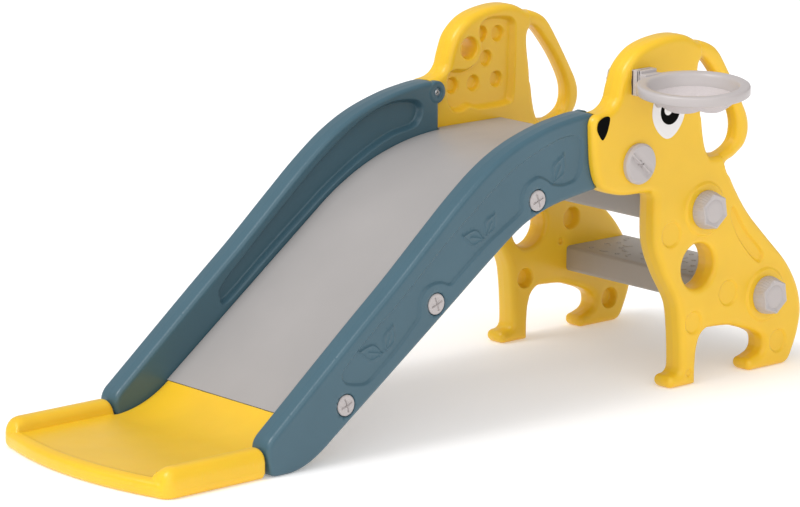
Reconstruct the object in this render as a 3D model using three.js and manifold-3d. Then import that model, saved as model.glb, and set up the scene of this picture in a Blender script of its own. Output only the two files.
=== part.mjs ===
// Toddler slide with two animal-shaped side panels, a railed slide bed with a run-out tray,
// two steps and a small basketball hoop. Millimetres, +Z up, +X from the slide's foot to the steps.
import * as THREE from "three";
import { mergeVertices } from "three/addons/utils/BufferGeometryUtils.js";
import Module from "manifold-3d";

const wasm = await Module();
wasm.setup();

// ---- Driving dimensions -------------------------------------------------------------------
const panelSpan = 466; // over the outer faces of the two side panels
const panelThickness = 46;
const panelRim = 10; // radius of the panels' rolled rim
const railInset = 15.5; // rail's outer face, behind the panel's outer face
const railThickness = 45;
const railRim = 9;
const slopeAngle = THREE.MathUtils.degToRad(37);
const deckHeight = 415;
const deckStart = -115; // x where the curved crest of the bed meets the level deck
const deckEnd = 35;
const crestRadius = 480;
const bedThickness = 42;
const bedFoot = -736; // x where the bed's surface meets the tray
const trayFloor = 28;
const trayFront = -1073;
const railTip = -848;
const railEnd = -132;
const stepLength = 150;
const stepThickness = 46;
const stepPocket = 6; // depth that a step's tenon sits in the panel
const tenonInset = 2.5; // how far a tenon's outline is inside its step's
const gap = 0.3; // running gap between pieces that touch
const hoopRadius = 94;
const hoopReach = 115; // hoop's centre, out from the panel's outer face
const hoopHeight = 555.3; // top of the rim, at its centre
const panelRear = 363;
const hoopDroop = THREE.MathUtils.degToRad(2.7); // the rim's outer side hangs lower
const hoopLean = THREE.MathUtils.degToRad(3.2); // and so does its side over the slide
const handleInset = 7; // handle's faces, behind the panel's

const halfSpan = panelSpan / 2;
const panelInner = halfSpan - panelThickness;
const railOuter = halfSpan - railInset;
const railInner = railOuter - railThickness;

// ---- Places shared by several pieces, as [x, z] in the side view ----------------------------
const steps = {
  lower: { bolt: [265, 134], front: 192, top: 159 },
  upper: { bolt: [110, 306], front: 39, top: 331 },
};
const railScrews = { lower: [-679, 92], middle: [-488, 228], upper: [-266, 368] };
const knobPlace = [-52, 405.5];
const lugPlace = [-138, 479];
const lugRadius = 20;
const bracketPlace = [-50, 545];
const bigHole = { place: [100, 207], radius: 40 };
const eyePlace = [17, 484];
const nostrilPlace = [-131, 474];

// ---- Materials ------------------------------------------------------------------------------
const plastic = (color, roughness = 0.45) => new THREE.MeshStandardMaterial({ color, roughness, metalness: 0 });
const yellow = plastic(0xf2c33c);
const blue = plastic(0x4c6f80);
const bedGrey = plastic(0xb3afad);
const stepGrey = plastic(0x84807d);
const fittingGrey = plastic(0xcfcaca);
const netGrey = plastic(0xd6d1d1, 0.9);
const stickerWhite = plastic(0xf0ecec, 0.35);
const stickerBlack = plastic(0x0c0c0c, 0.35);
const steel = new THREE.MeshStandardMaterial({ color: 0xb8bbc0, roughness: 0.3, metalness: 1 });

// ---- Solid helpers --------------------------------------------------------------------------
function solid(geometry) {
  const bare = geometry.clone();
  bare.deleteAttribute("normal");
  bare.deleteAttribute("uv");
  const merged = mergeVertices(bare, 1e-3);
  return new wasm.Manifold(
    new wasm.Mesh({
      numProp: 3,
      vertProperties: new Float32Array(merged.attributes.position.array),
      triVerts: new Uint32Array(merged.index.array),
    }),
  );
}

function geometryOf(body) {
  const mesh = body.getMesh();
  return new THREE.BufferGeometry()
    .setAttribute("position", new THREE.BufferAttribute(mesh.vertProperties, 3))
    .setIndex(new THREE.BufferAttribute(mesh.triVerts, 1));
}

// The outline's points without those that repeat or lie on a straight run.
function sparse(list) {
  const apart = list.filter((p, i) => p.distanceTo(list[(i + 1) % list.length]) > 0.05);
  return apart.filter((p, i) => {
    const before = apart.at(i - 1);
    const after = apart[(i + 1) % apart.length];
    const turn = (p.x - before.x) * (after.y - p.y) - (p.y - before.y) * (after.x - p.x);
    return Math.abs(turn) > 1e-6;
  });
}

function extruded(outline, depth, rim, curveSegments, bevelSegments) {
  const { shape, holes } = outline.extractPoints(curveSegments);
  const clean = new THREE.Shape(THREE.ShapeUtils.isClockWise(shape) ? sparse(shape).reverse() : sparse(shape));
  clean.holes = holes.map((hole) => new THREE.Path(sparse(hole)));
  return new THREE.ExtrudeGeometry(clean, {
    depth: depth - 2 * rim,
    bevelEnabled: rim > 0,
    bevelSize: rim,
    bevelThickness: rim,
    bevelOffset: -rim,
    bevelSegments,
  });
}

// A side-view outline (x, z) as a plate between two y planes, with a rolled rim of that radius.
function plate(outline, yLow, yHigh, rim = 0, curveSegments = 4, bevelSegments = 2) {
  const made = extruded(outline, yHigh - yLow, rim, curveSegments, bevelSegments);
  return made.rotateX(Math.PI / 2).translate(0, yHigh - rim, 0);
}

// A top-view outline (x, y) as a slab between two heights, rolled in the same way.
function slab(outline, zLow, zHigh, rim = 0, curveSegments = 6, bevelSegments = 2) {
  return extruded(outline, zHigh - zLow, rim, curveSegments, bevelSegments).translate(0, 0, zLow + rim);
}

// A cylinder or cone along y, from one y to a higher one.
function post([x, z], radiusLow, yLow, yHigh, radiusHigh = radiusLow, sides = 24) {
  const made = new THREE.CylinderGeometry(radiusHigh, radiusLow, yHigh - yLow, sides);
  return made.translate(x, (yLow + yHigh) / 2, z);
}

function box(x, y, z) {
  const made = new THREE.BoxGeometry(x[1] - x[0], y[1] - y[0], z[1] - z[0]);
  return made.translate((x[0] + x[1]) / 2, (y[0] + y[1]) / 2, (z[0] + z[1]) / 2);
}

const points = (list) => list.map(([x, z]) => new THREE.Vector2(x, z));

// A closed outline through the points, with that many steps of a smooth curve between each two.
function smoothLoop(list, density = 1) {
  const shape = new THREE.Shape();
  const curve = new THREE.CatmullRomCurve3(
    list.map(([x, z]) => new THREE.Vector3(x, z, 0)),
    true,
    "centripetal",
  );
  shape.setFromPoints(curve.getPoints(list.length * density).slice(0, -1).map((p) => new THREE.Vector2(p.x, p.y)));
  return shape;
}

function roundedBox(low, high, radius) {
  const shape = new THREE.Shape();
  shape.moveTo(low[0] + radius, low[1]);
  shape.lineTo(high[0] - radius, low[1]);
  shape.absarc(high[0] - radius, low[1] + radius, radius, -Math.PI / 2, 0);
  shape.lineTo(high[0], high[1] - radius);
  shape.absarc(high[0] - radius, high[1] - radius, radius, 0, Math.PI / 2);
  shape.lineTo(low[0] + radius, high[1]);
  shape.absarc(low[0] + radius, high[1] - radius, radius, Math.PI / 2, Math.PI);
  shape.lineTo(low[0], low[1] + radius);
  shape.absarc(low[0] + radius, low[1] + radius, radius, Math.PI, 1.5 * Math.PI);
  return shape;
}

const root = new THREE.Group();

function add(name, body, material, mirrored = false) {
  const mesh = new THREE.Mesh(body.isBufferGeometry ? body : geometryOf(body), material);
  mesh.name = name;
  mesh.scale.y = mirrored ? -1 : 1;
  root.add(mesh);
  return mesh;
}

// Pieces that come in pairs are made for the left side, which has negative y, and mirrored.
function addPair(name, body, material) {
  add(name + "_left", body, material);
  add(name + "_right", body, material, true);
}

// ---- The slide's running surface ------------------------------------------------------------
const crestCentre = [deckStart, deckHeight - crestRadius];
const crestFoot = [
  crestCentre[0] - crestRadius * Math.sin(slopeAngle),
  crestCentre[1] + crestRadius * Math.cos(slopeAngle),
];
const surfaceAt = (x) => crestFoot[1] + (x - crestFoot[0]) * Math.tan(slopeAngle);
// A point that far below the sloping surface, square to it, from the point at x.
const below = (x, depth) => [x + depth * Math.sin(slopeAngle), surfaceAt(x) - depth * Math.cos(slopeAngle)];

// ---- Side panels ----------------------------------------------------------------------------
const toeRadius = 12;

function panelOutline() {
  const shape = new THREE.Shape();
  shape.moveTo(101, 0);
  // front foot and the front of the leg
  shape.lineTo(47, 0);
  shape.absarc(47, toeRadius, toeRadius, -Math.PI / 2, Math.PI / 2, true);
  shape.quadraticCurveTo(63, 24, 64, 36);
  shape.splineThru(points([[64, 50], [62.5, 78], [60, 106], [55, 138], [44, 162], [17, 206], [-5, 262], [-7, 334]]));
  shape.quadraticCurveTo(-7, 350, -24, 351);
  // muzzle
  shape.splineThru(points([[-85, 354], [-132, 372], [-151, 410], [-157, 480]]));
  shape.quadraticCurveTo(-155, 497, -138, 498);
  // back of the muzzle into the head
  shape.quadraticCurveTo(-108, 500, -99, 521);
  shape.splineThru(points([[-93, 542], [-80, 571], [-53, 595], [-21, 607], [24, 613], [60, 610], [90, 596]]));
  // handle
  shape.quadraticCurveTo(97, 594, 105, 595);
  shape.splineThru(points([[128, 587], [148, 573], [171, 541], [207, 483], [223, 452], [226, 426], [217, 403], [200, 390]]));
  shape.quadraticCurveTo(190, 383, 178, 380);
  shape.quadraticCurveTo(167, 376, 170, 367);
  // back, rump and rear foot
  shape.splineThru(points([[190, 331], [224, 284], [273, 234], [322, 185], [352, 138], [panelRear, 94], [357, 54]]));
  shape.lineTo(334, 0);
  shape.lineTo(241, 0);
  shape.absarc(241, toeRadius, toeRadius, -Math.PI / 2, Math.PI / 2, true);
  // arch between the feet
  shape.splineThru(points([[251, 26], [262, 31], [268, 40], [264, 57], [242, 70.5], [210, 82], [180, 90.5], [131, 94]]));
  shape.quadraticCurveTo(116, 92, 108, 77);
  shape.splineThru(points([[103, 58], [101, 31]]));
  shape.lineTo(101, 0);
  shape.holes.push(
    smoothLoop([
      [92, 530], [92, 555], [101, 564], [114, 560], [130, 544], [160, 505], [184, 465], [192, 438],
      [187, 415], [164, 401], [136, 395], [119, 402], [108, 428], [99, 478],
    ]),
  );
  return shape;
}

// Shallow round marks on the outer face, and deep dimples on the inner face: [x, z, radius].
const outerMarks = [[32, 272, 22], [174, 150, 22], [90, 110, 19], [302, 45, 20], [81, 23, 7]];
const innerDimples = [
  [204, 208, 20], [91, 114, 18], [303, 46, 19], [177, 169, 7], [-14, 566, 12], [27, 562, 12],
  [0, 521, 13], [25, 481, 13], [-30, 480, 13], [-80, 481, 12],
];

function railOutline() {
  const shape = new THREE.Shape();
  shape.moveTo(railEnd, 369);
  shape.splineThru(points([
    [-190, 361], [-243, 350], [-300, 327], [-370, 280], [-450, 222], [-560, 143], [-640, 86], [-706, 39],
  ]));
  shape.quadraticCurveTo(-756, 0, -796, 0);
  shape.lineTo(-826, 0);
  shape.quadraticCurveTo(-840, 1, -842, 14);
  shape.lineTo(railTip, 42);
  shape.quadraticCurveTo(railTip - 2, 53, -838, 58);
  shape.lineTo(-660, 203);
  shape.splineThru(points([
    [-570, 275], [-490, 343], [-430, 393], [-370, 436], [-310, 466], [-240, 487], [-180, 497], [railEnd - 20, 499],
  ]));
  shape.quadraticCurveTo(railEnd, 499, railEnd, 481);
  shape.lineTo(railEnd, 369);
  return shape;
}

function headRecess() {
  return smoothLoop([
    [-96, 456], [-98, 495], [-86, 508], [-56, 506], [-28, 518], [-17, 545], [-24, 574], [-10, 590],
    [22, 592], [52, 584], [57, 560], [56, 500], [54, 452], [44, 439], [0, 437], [-28, 438],
    [-48, 444], [-66, 438], [-84, 440],
  ]);
}

// Long tapering recess that follows the back, between the two bolts.
function backRecess() {
  return smoothLoop([
    [178, 300], [188, 292], [214, 254], [246, 222], [258, 206], [254, 196], [244, 196], [222, 214], [194, 248], [178, 280],
  ]);
}

// Outline of a step's end inside the panel.
function tenonOutline({ front, top }, inset) {
  return roundedBox([front + inset, top - stepThickness + inset], [front + stepLength - inset, top - inset], 6);
}

function panel() {
  const outer = -halfSpan;
  const inner = -panelInner;
  let body = solid(plate(panelOutline(), outer, inner, panelRim, 2));
  for (const step of Object.values(steps)) {
    body = body.add(solid(post(step.bolt, 47, outer - 3, outer + 1, 42, 28)));
  }
  const rebate = new THREE.Shape(points([
    [-170, 360], [railEnd + 1, 368], [railEnd + 1, 484], [railEnd - 4, 495], [railEnd - 14, 500], [-170, 498.5],
  ]));
  const handleRegion = new THREE.Shape(points([
    [97, 640], [97, 470], [140, 430], [150, 396], [166, 360], [190, 345], [320, 345], [320, 640],
  ]));
  const cuts = [
    plate(rebate, -railOuter - gap, inner + 1),
    plate(handleRegion, outer - 1, outer + handleInset),
    plate(handleRegion, inner - handleInset, inner + 1),
    plate(headRecess(), inner - 5, inner + 1, 0, 4),
    plate(backRecess(), outer - 1, outer + 2.5, 0, 4),
    post(bigHole.place, bigHole.radius, outer - 1, inner + 1),
    post(bigHole.place, bigHole.radius + 9, outer - 1, outer + 8, bigHole.radius),
    post(bigHole.place, bigHole.radius, inner - 8, inner + 1, bigHole.radius + 9),
    post(knobPlace, 8, outer - 1, inner + 1, 8, 16),
    post(lugPlace, 3.2, -railOuter - 10, inner + 1, 3.2, 8),
    post(bracketPlace, 18, outer - 1, inner + 1, 18, 24),
  ];
  for (const [x, z, radius] of outerMarks) {
    cuts.push(post([x, z], radius, outer - 1, outer + 2.2, radius - 1, 14));
  }
  for (const [x, z, radius] of innerDimples) {
    cuts.push(post([x, z], radius - 3, inner - 16, inner + 1, radius, 10));
  }
  for (const step of Object.values(steps)) {
    cuts.push(post(step.bolt, 17, outer - 4, inner + 1, 17, 20));
    cuts.push(plate(tenonOutline(step, tenonInset - 1), inner - stepPocket, inner + 1, 0, 3));
  }
  for (const cut of cuts) {
    body = body.subtract(solid(cut));
  }
  return body;
}

addPair("side_panel", panel(), yellow);

// ---- Rails ----------------------------------------------------------------------------------
// Hand channel on the inner face.
function handChannel() {
  return smoothLoop([
    [-618, 190], [-604, 181], [-520, 244], [-440, 303], [-370, 352], [-300, 392], [-240, 417], [-192, 426],
    [-175, 441], [-175, 460], [-196, 471], [-250, 470], [-320, 444], [-400, 391], [-480, 326], [-560, 257], [-614, 208],
  ]);
}

// Sunk field on the outer face; it steps round the bosses of the middle and upper screws.
function railField() {
  return smoothLoop([
    [-684, 142], [-674, 126], [-646, 120], [-616, 137], [-566, 175], [-538, 198], [-524, 214], [-521, 244],
    [-503, 260], [-478, 262], [-458, 256], [-440, 268], [-380, 312], [-316, 356], [-303, 374], [-298, 392],
    [-281, 405], [-258, 407], [-240, 396], [-226, 388], [-196, 388], [-176, 400], [-172, 425], [-178, 456],
    [-200, 468], [-250, 462], [-320, 434], [-390, 386], [-460, 328], [-560, 243], [-640, 178],
  ]);
}

function rail() {
  const outer = -railOuter;
  const inner = -railInner;
  let body = solid(plate(railOutline(), outer, inner, railRim, 1));
  const lug = new THREE.Shape();
  lug.absarc(...lugPlace, lugRadius, 0, 2 * Math.PI);
  body = body.add(solid(plate(lug, -panelInner + gap, inner, 0, 8)));
  const cuts = [
    plate(handChannel(), inner - 14, inner + 1),
    plate(railField(), outer - 1, outer + 3),
    post(lugPlace, 3.6, outer - 1, inner + 1, 3.6, 8),
    post(lugPlace, 9, inner - 4, inner + 1, 9, 20),
  ];
  for (const place of Object.values(railScrews)) {
    cuts.push(post(place, 18.5, outer - 1, outer + 6, 18.5, 20));
    cuts.push(post(place, 8.4, outer - 1, inner + 1, 8.4, 12));
  }
  for (const cut of cuts) {
    body = body.subtract(solid(cut));
  }
  return body;
}
addPair("rail", rail(), blue);

// ---- Slide bed ------------------------------------------------------------------------------
const lapDepth = 20; // thickness of the bed where it lies on the tray's tongue
const lapLength = 46;
const tongueReach = lapLength * Math.cos(slopeAngle);

function bedOutline(depth) {
  const shape = new THREE.Shape();
  shape.moveTo(bedFoot, surfaceAt(bedFoot));
  shape.lineTo(...crestFoot);
  shape.absarc(...crestCentre, crestRadius, Math.PI / 2 + slopeAngle, Math.PI / 2, true);
  shape.lineTo(deckEnd - 12, deckHeight);
  shape.quadraticCurveTo(deckEnd, deckHeight, deckEnd, deckHeight - 12);
  shape.lineTo(deckEnd, deckHeight - depth);
  shape.lineTo(deckStart, deckHeight - depth);
  shape.absarc(...crestCentre, crestRadius - depth, Math.PI / 2, Math.PI / 2 + slopeAngle, false);
  shape.lineTo(...below(bedFoot + tongueReach, depth));
  shape.lineTo(...below(bedFoot + tongueReach, lapDepth));
  shape.lineTo(...below(bedFoot, lapDepth));
  shape.closePath();
  return shape;
}

function bed() {
  const half = railInner - gap;
  const deckHalf = panelInner - gap;
  const deckLow = deckHeight - bedThickness;
  let body = solid(plate(bedOutline(bedThickness), -half, half, 0, 14));
  const deckSlab = roundedBox([railEnd + 1.2, deckLow], [deckEnd, deckHeight], 6);
  body = body.add(solid(plate(deckSlab, -deckHalf, deckHalf, 0, 4)));
  const cuts = [];
  for (const side of [-1, 1]) {
    for (const place of Object.values(railScrews)) {
      cuts.push(post(place, 8.2, Math.min(side * half, side * (half - 42)) - 1, Math.max(side * half, side * (half - 42)) + 1, 8.2, 12));
    }
    const low = Math.min(side * deckHalf, side * (deckHalf - 46));
    cuts.push(post(knobPlace, 6.9, low - 1, low + 48, 6.9, 16));
    const edge = side * deckHalf;
    cuts.push(box([-58, -18], [Math.min(edge, edge - side * 9) - 0.01, Math.max(edge, edge - side * 9) + 0.01], [deckHeight - 7, deckHeight + 1]));
  }
  // stiffening channels on the underside
  for (const y of [-110, 0, 110]) {
    const channel = new THREE.Shape(points([
      below(bedFoot + 90, bedThickness + 1),
      below(bedFoot + 102, bedThickness - 12),
      below(crestFoot[0] - 12, bedThickness - 12),
      below(crestFoot[0], bedThickness + 1),
    ]));
    cuts.push(plate(channel, y - 22, y + 22));
  }
  for (const cut of cuts) {
    body = body.subtract(solid(cut));
  }
  return body;
}
add("slide_bed", bed(), bedGrey);

// ---- Run-out tray ---------------------------------------------------------------------------
const trayHalf = 215;
const trayCorner = 28;
const flangeWidth = 30;
const trayBow = 30; // how far the front edge bows out
const runoutRadius = (surfaceAt(bedFoot) - trayFloor) / (1 - Math.cos(slopeAngle));
const runoutStart = bedFoot - runoutRadius * Math.sin(slopeAngle);
const trayRearEdge = railTip - 2.5;

function trayPlan() {
  const shape = new THREE.Shape();
  const front = trayFront + trayBow;
  shape.moveTo(trayRearEdge + 12, -trayHalf);
  shape.lineTo(trayRearEdge + 12, trayHalf);
  shape.lineTo(front + trayCorner, trayHalf);
  shape.quadraticCurveTo(front + 2, trayHalf, front - 2, trayHalf - trayCorner);
  shape.quadraticCurveTo(trayFront - trayBow + 4, 0, front - 2, -trayHalf + trayCorner);
  shape.quadraticCurveTo(front + 2, -trayHalf, front + trayCorner, -trayHalf);
  shape.closePath();
  return shape;
}

// The ramp between the rails, down to the level floor, with the tongue that goes under the bed.
function rampOutline() {
  const shape = new THREE.Shape();
  const lipAngle = slopeAngle - (2 * gap) / runoutRadius;
  const lip = runoutStart + runoutRadius * Math.sin(lipAngle);
  shape.moveTo(trayRearEdge - 40, 0.5);
  shape.lineTo(-795, 0.5);
  shape.quadraticCurveTo(-750, 6, ...below(bedFoot + 2, bedThickness - 1));
  shape.lineTo(...below(bedFoot + tongueReach - 1, bedThickness - 1));
  shape.lineTo(...below(bedFoot + tongueReach - 1, lapDepth + gap + 0.2));
  shape.lineTo(...below(lip, lapDepth + gap + 0.2));
  shape.absarc(runoutStart, trayFloor + runoutRadius, runoutRadius, lipAngle - Math.PI / 2, -Math.PI / 2, true);
  shape.lineTo(trayRearEdge - 40, trayFloor);
  shape.closePath();
  return shape;
}

function sideFlange() {
  const height = 48;
  const shape = new THREE.Shape();
  const front = trayFront + trayBow + 4;
  shape.moveTo(trayRearEdge + 12, 4);
  shape.lineTo(trayRearEdge + 12, height);
  shape.lineTo(front + 34, height);
  shape.quadraticCurveTo(front + 2, height, front, 4);
  shape.closePath();
  return plate(shape, -trayHalf, -trayHalf + flangeWidth, 8, 4, 2);
}

function tray() {
  const half = railInner - gap;
  let body = solid(slab(trayPlan(), 0, trayFloor, 7, 8));
  body = body.add(solid(plate(rampOutline(), -half, half, 0, 8)));
  const flange = sideFlange();
  body = body.add(solid(flange));
  body = body.add(solid(flange.clone().translate(0, 2 * trayHalf - flangeWidth, 0)));
  for (const y of [[-trayHalf - 1, -half], [half, trayHalf + 1]]) {
    body = body.subtract(solid(box([trayRearEdge, trayRearEdge + 20], y, [-1, 60])));
  }
  return body;
}
add("exit_tray", tray(), yellow);

// ---- Steps ----------------------------------------------------------------------------------
const insertRadius = 17;
const insertLength = 40;
const boltRadius = 14.6;

function step(place) {
  const { bolt, front, top } = place;
  const shoulder = panelInner - gap;
  const half = panelInner + stepPocket - gap;
  const outline = roundedBox([front, top - stepThickness], [front + stepLength, top], 8);
  let body = solid(plate(outline, -shoulder, shoulder, 3, 4, 1));
  body = body.add(solid(plate(tenonOutline(place, tenonInset), -half, half, 0, 3)));
  for (const side of [-1, 1]) {
    const low = side < 0 ? -half - 1 : half - insertLength;
    body = body.subtract(solid(post(bolt, insertRadius, low, low + insertLength + 1, insertRadius, 20)));
    const deep = side < 0 ? -half + insertLength - 1 : half - insertLength - 20;
    body = body.subtract(solid(post(bolt, boltRadius + 0.5, deep, deep + 21, boltRadius + 0.5, 16)));
  }
  return body;
}

function stepInsert({ bolt }) {
  const end = panelInner + stepPocket - gap;
  const low = -end + 0.5;
  const body = solid(post(bolt, insertRadius - gap, low, low + insertLength - 1.2, insertRadius - gap, 20));
  return body.subtract(solid(post(bolt, boltRadius + gap, low - 1, low + insertLength, boltRadius + gap, 16)));
}

const headHeight = 24;
const bossHeight = 3;

// Hand-turned bolt: flanged hexagonal head with a dished top, and a shank into the step's insert.
function stepBolt({ bolt }) {
  const seat = -halfSpan - bossHeight - gap;
  let body = solid(post(bolt, 32, seat - 8, seat, 32.5, 24));
  const hexagon = new THREE.CylinderGeometry(31.5, 32.5, headHeight - 5, 6).rotateY(0.14);
  body = body.add(solid(hexagon.translate(bolt[0], seat - 5 - (headHeight - 5) / 2 + 0.01, bolt[1])));
  body = body.subtract(solid(post(bolt, 21, seat - headHeight - 1, seat - headHeight + 1.5, 20, 20)));
  const shankEnd = -panelInner + stepPocket + insertLength - 14;
  body = body.add(solid(post(bolt, boltRadius, seat - 1, shankEnd - 4, boltRadius, 12)));
  return body.add(solid(post(bolt, boltRadius, shankEnd - 4.01, shankEnd, boltRadius - 3, 12)));
}

for (const [name, place] of Object.entries(steps)) {
  add("step_" + name, step(place), stepGrey);
  addPair("step_bolt_" + name, stepBolt(place), fittingGrey);
  addPair("step_insert_" + name, stepInsert(place), fittingGrey);
}

// ---- Screws and knobs -----------------------------------------------------------------------
// A bar across a head, along x before it is turned about y.
function headBar(place, length, width, yLow, yHigh, turn) {
  const made = new THREE.BoxGeometry(length, yHigh - yLow, width).rotateY(turn);
  return made.translate(place[0], (yLow + yHigh) / 2, place[1]);
}

function railScrew(place) {
  const face = -railOuter - 0.5;
  let body = solid(post(place, 16.4, face, face + 1.4, 17.2, 20));
  body = body.add(solid(post(place, 17.2, face + 1.39, -railOuter + 6 - gap, 17.2, 20)));
  body = body.add(solid(post(place, 7.8, face + 4, -railInner + 36, 7.8, 12)));
  for (const turn of [0.35, 0.35 + Math.PI / 2]) {
    body = body.subtract(solid(headBar(place, 24, 3.2, face - 1, face + 1.6, turn)));
  }
  return body;
}
for (const [name, place] of Object.entries(railScrews)) {
  addPair("rail_screw_" + name, railScrew(place), fittingGrey);
}

function panelKnob() {
  const seat = -halfSpan - gap;
  let body = solid(post(knobPlace, 32.5, seat - 7, seat - 4, 34.5, 28));
  body = body.add(solid(post(knobPlace, 34.5, seat - 4.01, seat, 34.5, 28)));
  body = body.add(solid(post(knobPlace, 6.5, seat - 1, -panelInner + 42, 6.5, 16)));
  body = body.subtract(solid(headBar(knobPlace, 74, 9, seat - 8, seat - 4.6, 0.72)));
  return body.add(solid(headBar(knobPlace, 58, 3.2, seat - 6.4, seat - 4.5, 0.72)));
}
addPair("panel_knob", panelKnob(), fittingGrey);

function lugScrew() {
  const seat = -railInner - 4 + gap;
  let body = solid(post(lugPlace, 7, seat, seat + 2, 7, 16));
  body = body.add(solid(post(lugPlace, 7, seat + 1.99, seat + 3.6, 4.6, 16)));
  body = body.add(solid(post(lugPlace, 2.7, -railOuter - 8, seat + 1, 2.7, 8)));
  for (const turn of [0.5, 0.5 + Math.PI / 2]) {
    body = body.subtract(solid(headBar(lugPlace, 6.4, 1.3, seat + 2.2, seat + 5, turn)));
  }
  return body;
}
addPair("lug_screw", lugScrew(), steel);

// ---- Hoop -----------------------------------------------------------------------------------
const bracketHalf = 21.5;
const channelHalf = 16.5;
const lipHalf = 11.5;
const channelDepth = 6.6;
const plateDepth = 5;

function hoopBracket() {
  const [x, z] = bracketPlace;
  const face = -halfSpan - gap;
  const low = z - bracketHalf;
  const high = z + bracketHalf;
  const front = face - plateDepth - channelDepth - 4;
  let body = solid(box([x - bracketHalf, x + bracketHalf], [front, face], [low, high]));
  const floor = low + 5;
  body = body.subtract(solid(box([x - channelHalf, x + channelHalf], [front + 4, face - plateDepth], [floor, high + 1])));
  body = body.subtract(solid(box([x - lipHalf, x + lipHalf], [front - 1, face - plateDepth - 1], [floor, high + 1])));
  const studEnd = -panelInner + 12;
  body = body.add(solid(post(bracketPlace, 17.6, face - 1, studEnd, 17.6, 32)));
  return body.subtract(solid(post(bracketPlace, 13, face + 6, studEnd + 1, 13, 24)));
}
add("hoop_bracket", hoopBracket(), fittingGrey);

function bracketNut() {
  const seat = -panelInner + gap;
  const body = solid(post(bracketPlace, 27, seat, seat + 9, 25, 12));
  return body.subtract(solid(post(bracketPlace, 17.9, seat - 1, seat + 10, 17.9, 32)));
}
add("hoop_bracket_nut", bracketNut(), fittingGrey);

const hoopCentre = [bracketPlace[0] + 7, -halfSpan - hoopReach];
const rimInner = 75;
const rimDepth = 15.5;

function lathed(profile, segments = 40) {
  const made = new THREE.LatheGeometry(points(profile), segments);
  made.rotateX(Math.PI / 2).translate(0, 0, -hoopHeight).rotateX(hoopDroop).rotateY(-hoopLean);
  return made.translate(hoopCentre[0], hoopCentre[1], hoopHeight);
}

function hoop() {
  const top = hoopHeight;
  let body = solid(lathed([
    [rimInner - 6, top - rimDepth - 6], [rimInner + 4, top - rimDepth - 2], [hoopRadius - 3, top - rimDepth],
    [hoopRadius, top - rimDepth + 2], [hoopRadius, top - 4], [hoopRadius - 3, top], [rimInner + 2, top - 1],
    [rimInner - 2, top - 4], [rimInner - 6, top - rimDepth - 6],
  ]));
  const [x, z] = bracketPlace;
  const face = -halfSpan - gap - plateDepth;
  const tongueFloor = z - bracketHalf + 5 + gap;
  const tongueTop = z + bracketHalf;
  const ringBack = hoopCentre[1] + hoopRadius - 8;
  body = body.add(solid(box([x - channelHalf + gap, x + channelHalf - gap], [face - channelDepth + gap, face - gap], [tongueFloor, tongueTop])));
  body = body.add(solid(box([x - lipHalf + gap, x + lipHalf - gap], [face - channelDepth - 6, face - 1], [tongueFloor, tongueTop])));
  body = body.add(solid(box([x - 19, x + 19], [ringBack, face - channelDepth - 4 - gap], [hoopHeight - 6.5, hoopHeight + 5.5])));
  return body.add(solid(box([x - 15, x + 15], [face - channelDepth - 10, face - channelDepth - 4 - gap], [tongueFloor + 8, hoopHeight + 3])));
}
add("hoop_ring", hoop(), fittingGrey);

function net() {
  const top = hoopHeight - rimDepth - 6 - gap;
  const drop = 24;
  return lathed([
    [rimInner - 10, top - drop], [rimInner - 6, top - drop], [rimInner - 1, top - 12], [rimInner - 3, top],
    [rimInner - 8, top], [rimInner - 6, top - 12], [rimInner - 10, top - drop],
  ], 32);
}
add("hoop_net", net(), netGrey);

// ---- Stickers -------------------------------------------------------------------------------
const stickerThickness = 0.6;

function sticker(shape) {
  const back = -halfSpan - gap;
  return plate(shape, back - stickerThickness, back, 0, 8);
}

const eye = new THREE.Shape();
eye.absellipse(...eyePlace, 39, 48, 0, 2 * Math.PI);
addPair("eye_sticker", sticker(eye), stickerWhite);

const [nostrilX, nostrilZ] = nostrilPlace;
const nostril = smoothLoop([
  [nostrilX - 5, nostrilZ - 19], [nostrilX + 2, nostrilZ - 13], [nostrilX + 8, nostrilZ], [nostrilX + 10, nostrilZ + 17],
  [nostrilX - 2, nostrilZ + 19], [nostrilX - 15, nostrilZ + 12], [nostrilX - 17, nostrilZ], [nostrilX - 12, nostrilZ - 12],
]);
addPair("nostril_sticker", sticker(nostril), stickerBlack);

// ---- Frame: on the floor, under the middle of the whole object ------------------------------
const middle = new THREE.Box3().setFromObject(root).getCenter(new THREE.Vector3());
root.position.set(-middle.x, -middle.y, 0);

export default root;
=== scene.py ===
"""Toddler slide: moulded side panels, rails, bed, tray, steps, fittings and a small ball hoop.

Lengths are millimetres in the slide's own frame until a mesh is made: x from the front toe of the
side panels, positive towards the steps; y from the middle plane, negative to the left; z up.
"""

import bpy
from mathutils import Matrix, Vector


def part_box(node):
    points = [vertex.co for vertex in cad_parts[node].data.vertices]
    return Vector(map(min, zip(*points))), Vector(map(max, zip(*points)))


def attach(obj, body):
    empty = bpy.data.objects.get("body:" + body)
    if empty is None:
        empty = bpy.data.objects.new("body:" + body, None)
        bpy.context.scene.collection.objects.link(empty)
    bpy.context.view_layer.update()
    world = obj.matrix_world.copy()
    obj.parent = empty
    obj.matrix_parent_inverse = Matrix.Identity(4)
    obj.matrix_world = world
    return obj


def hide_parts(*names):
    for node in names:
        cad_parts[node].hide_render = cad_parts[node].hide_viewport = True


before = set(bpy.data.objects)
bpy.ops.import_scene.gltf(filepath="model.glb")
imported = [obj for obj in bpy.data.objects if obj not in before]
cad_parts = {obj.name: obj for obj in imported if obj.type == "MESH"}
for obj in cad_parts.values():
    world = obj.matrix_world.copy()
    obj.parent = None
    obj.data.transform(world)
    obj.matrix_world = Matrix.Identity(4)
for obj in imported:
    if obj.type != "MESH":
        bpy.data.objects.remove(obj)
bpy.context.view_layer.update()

import math

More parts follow.
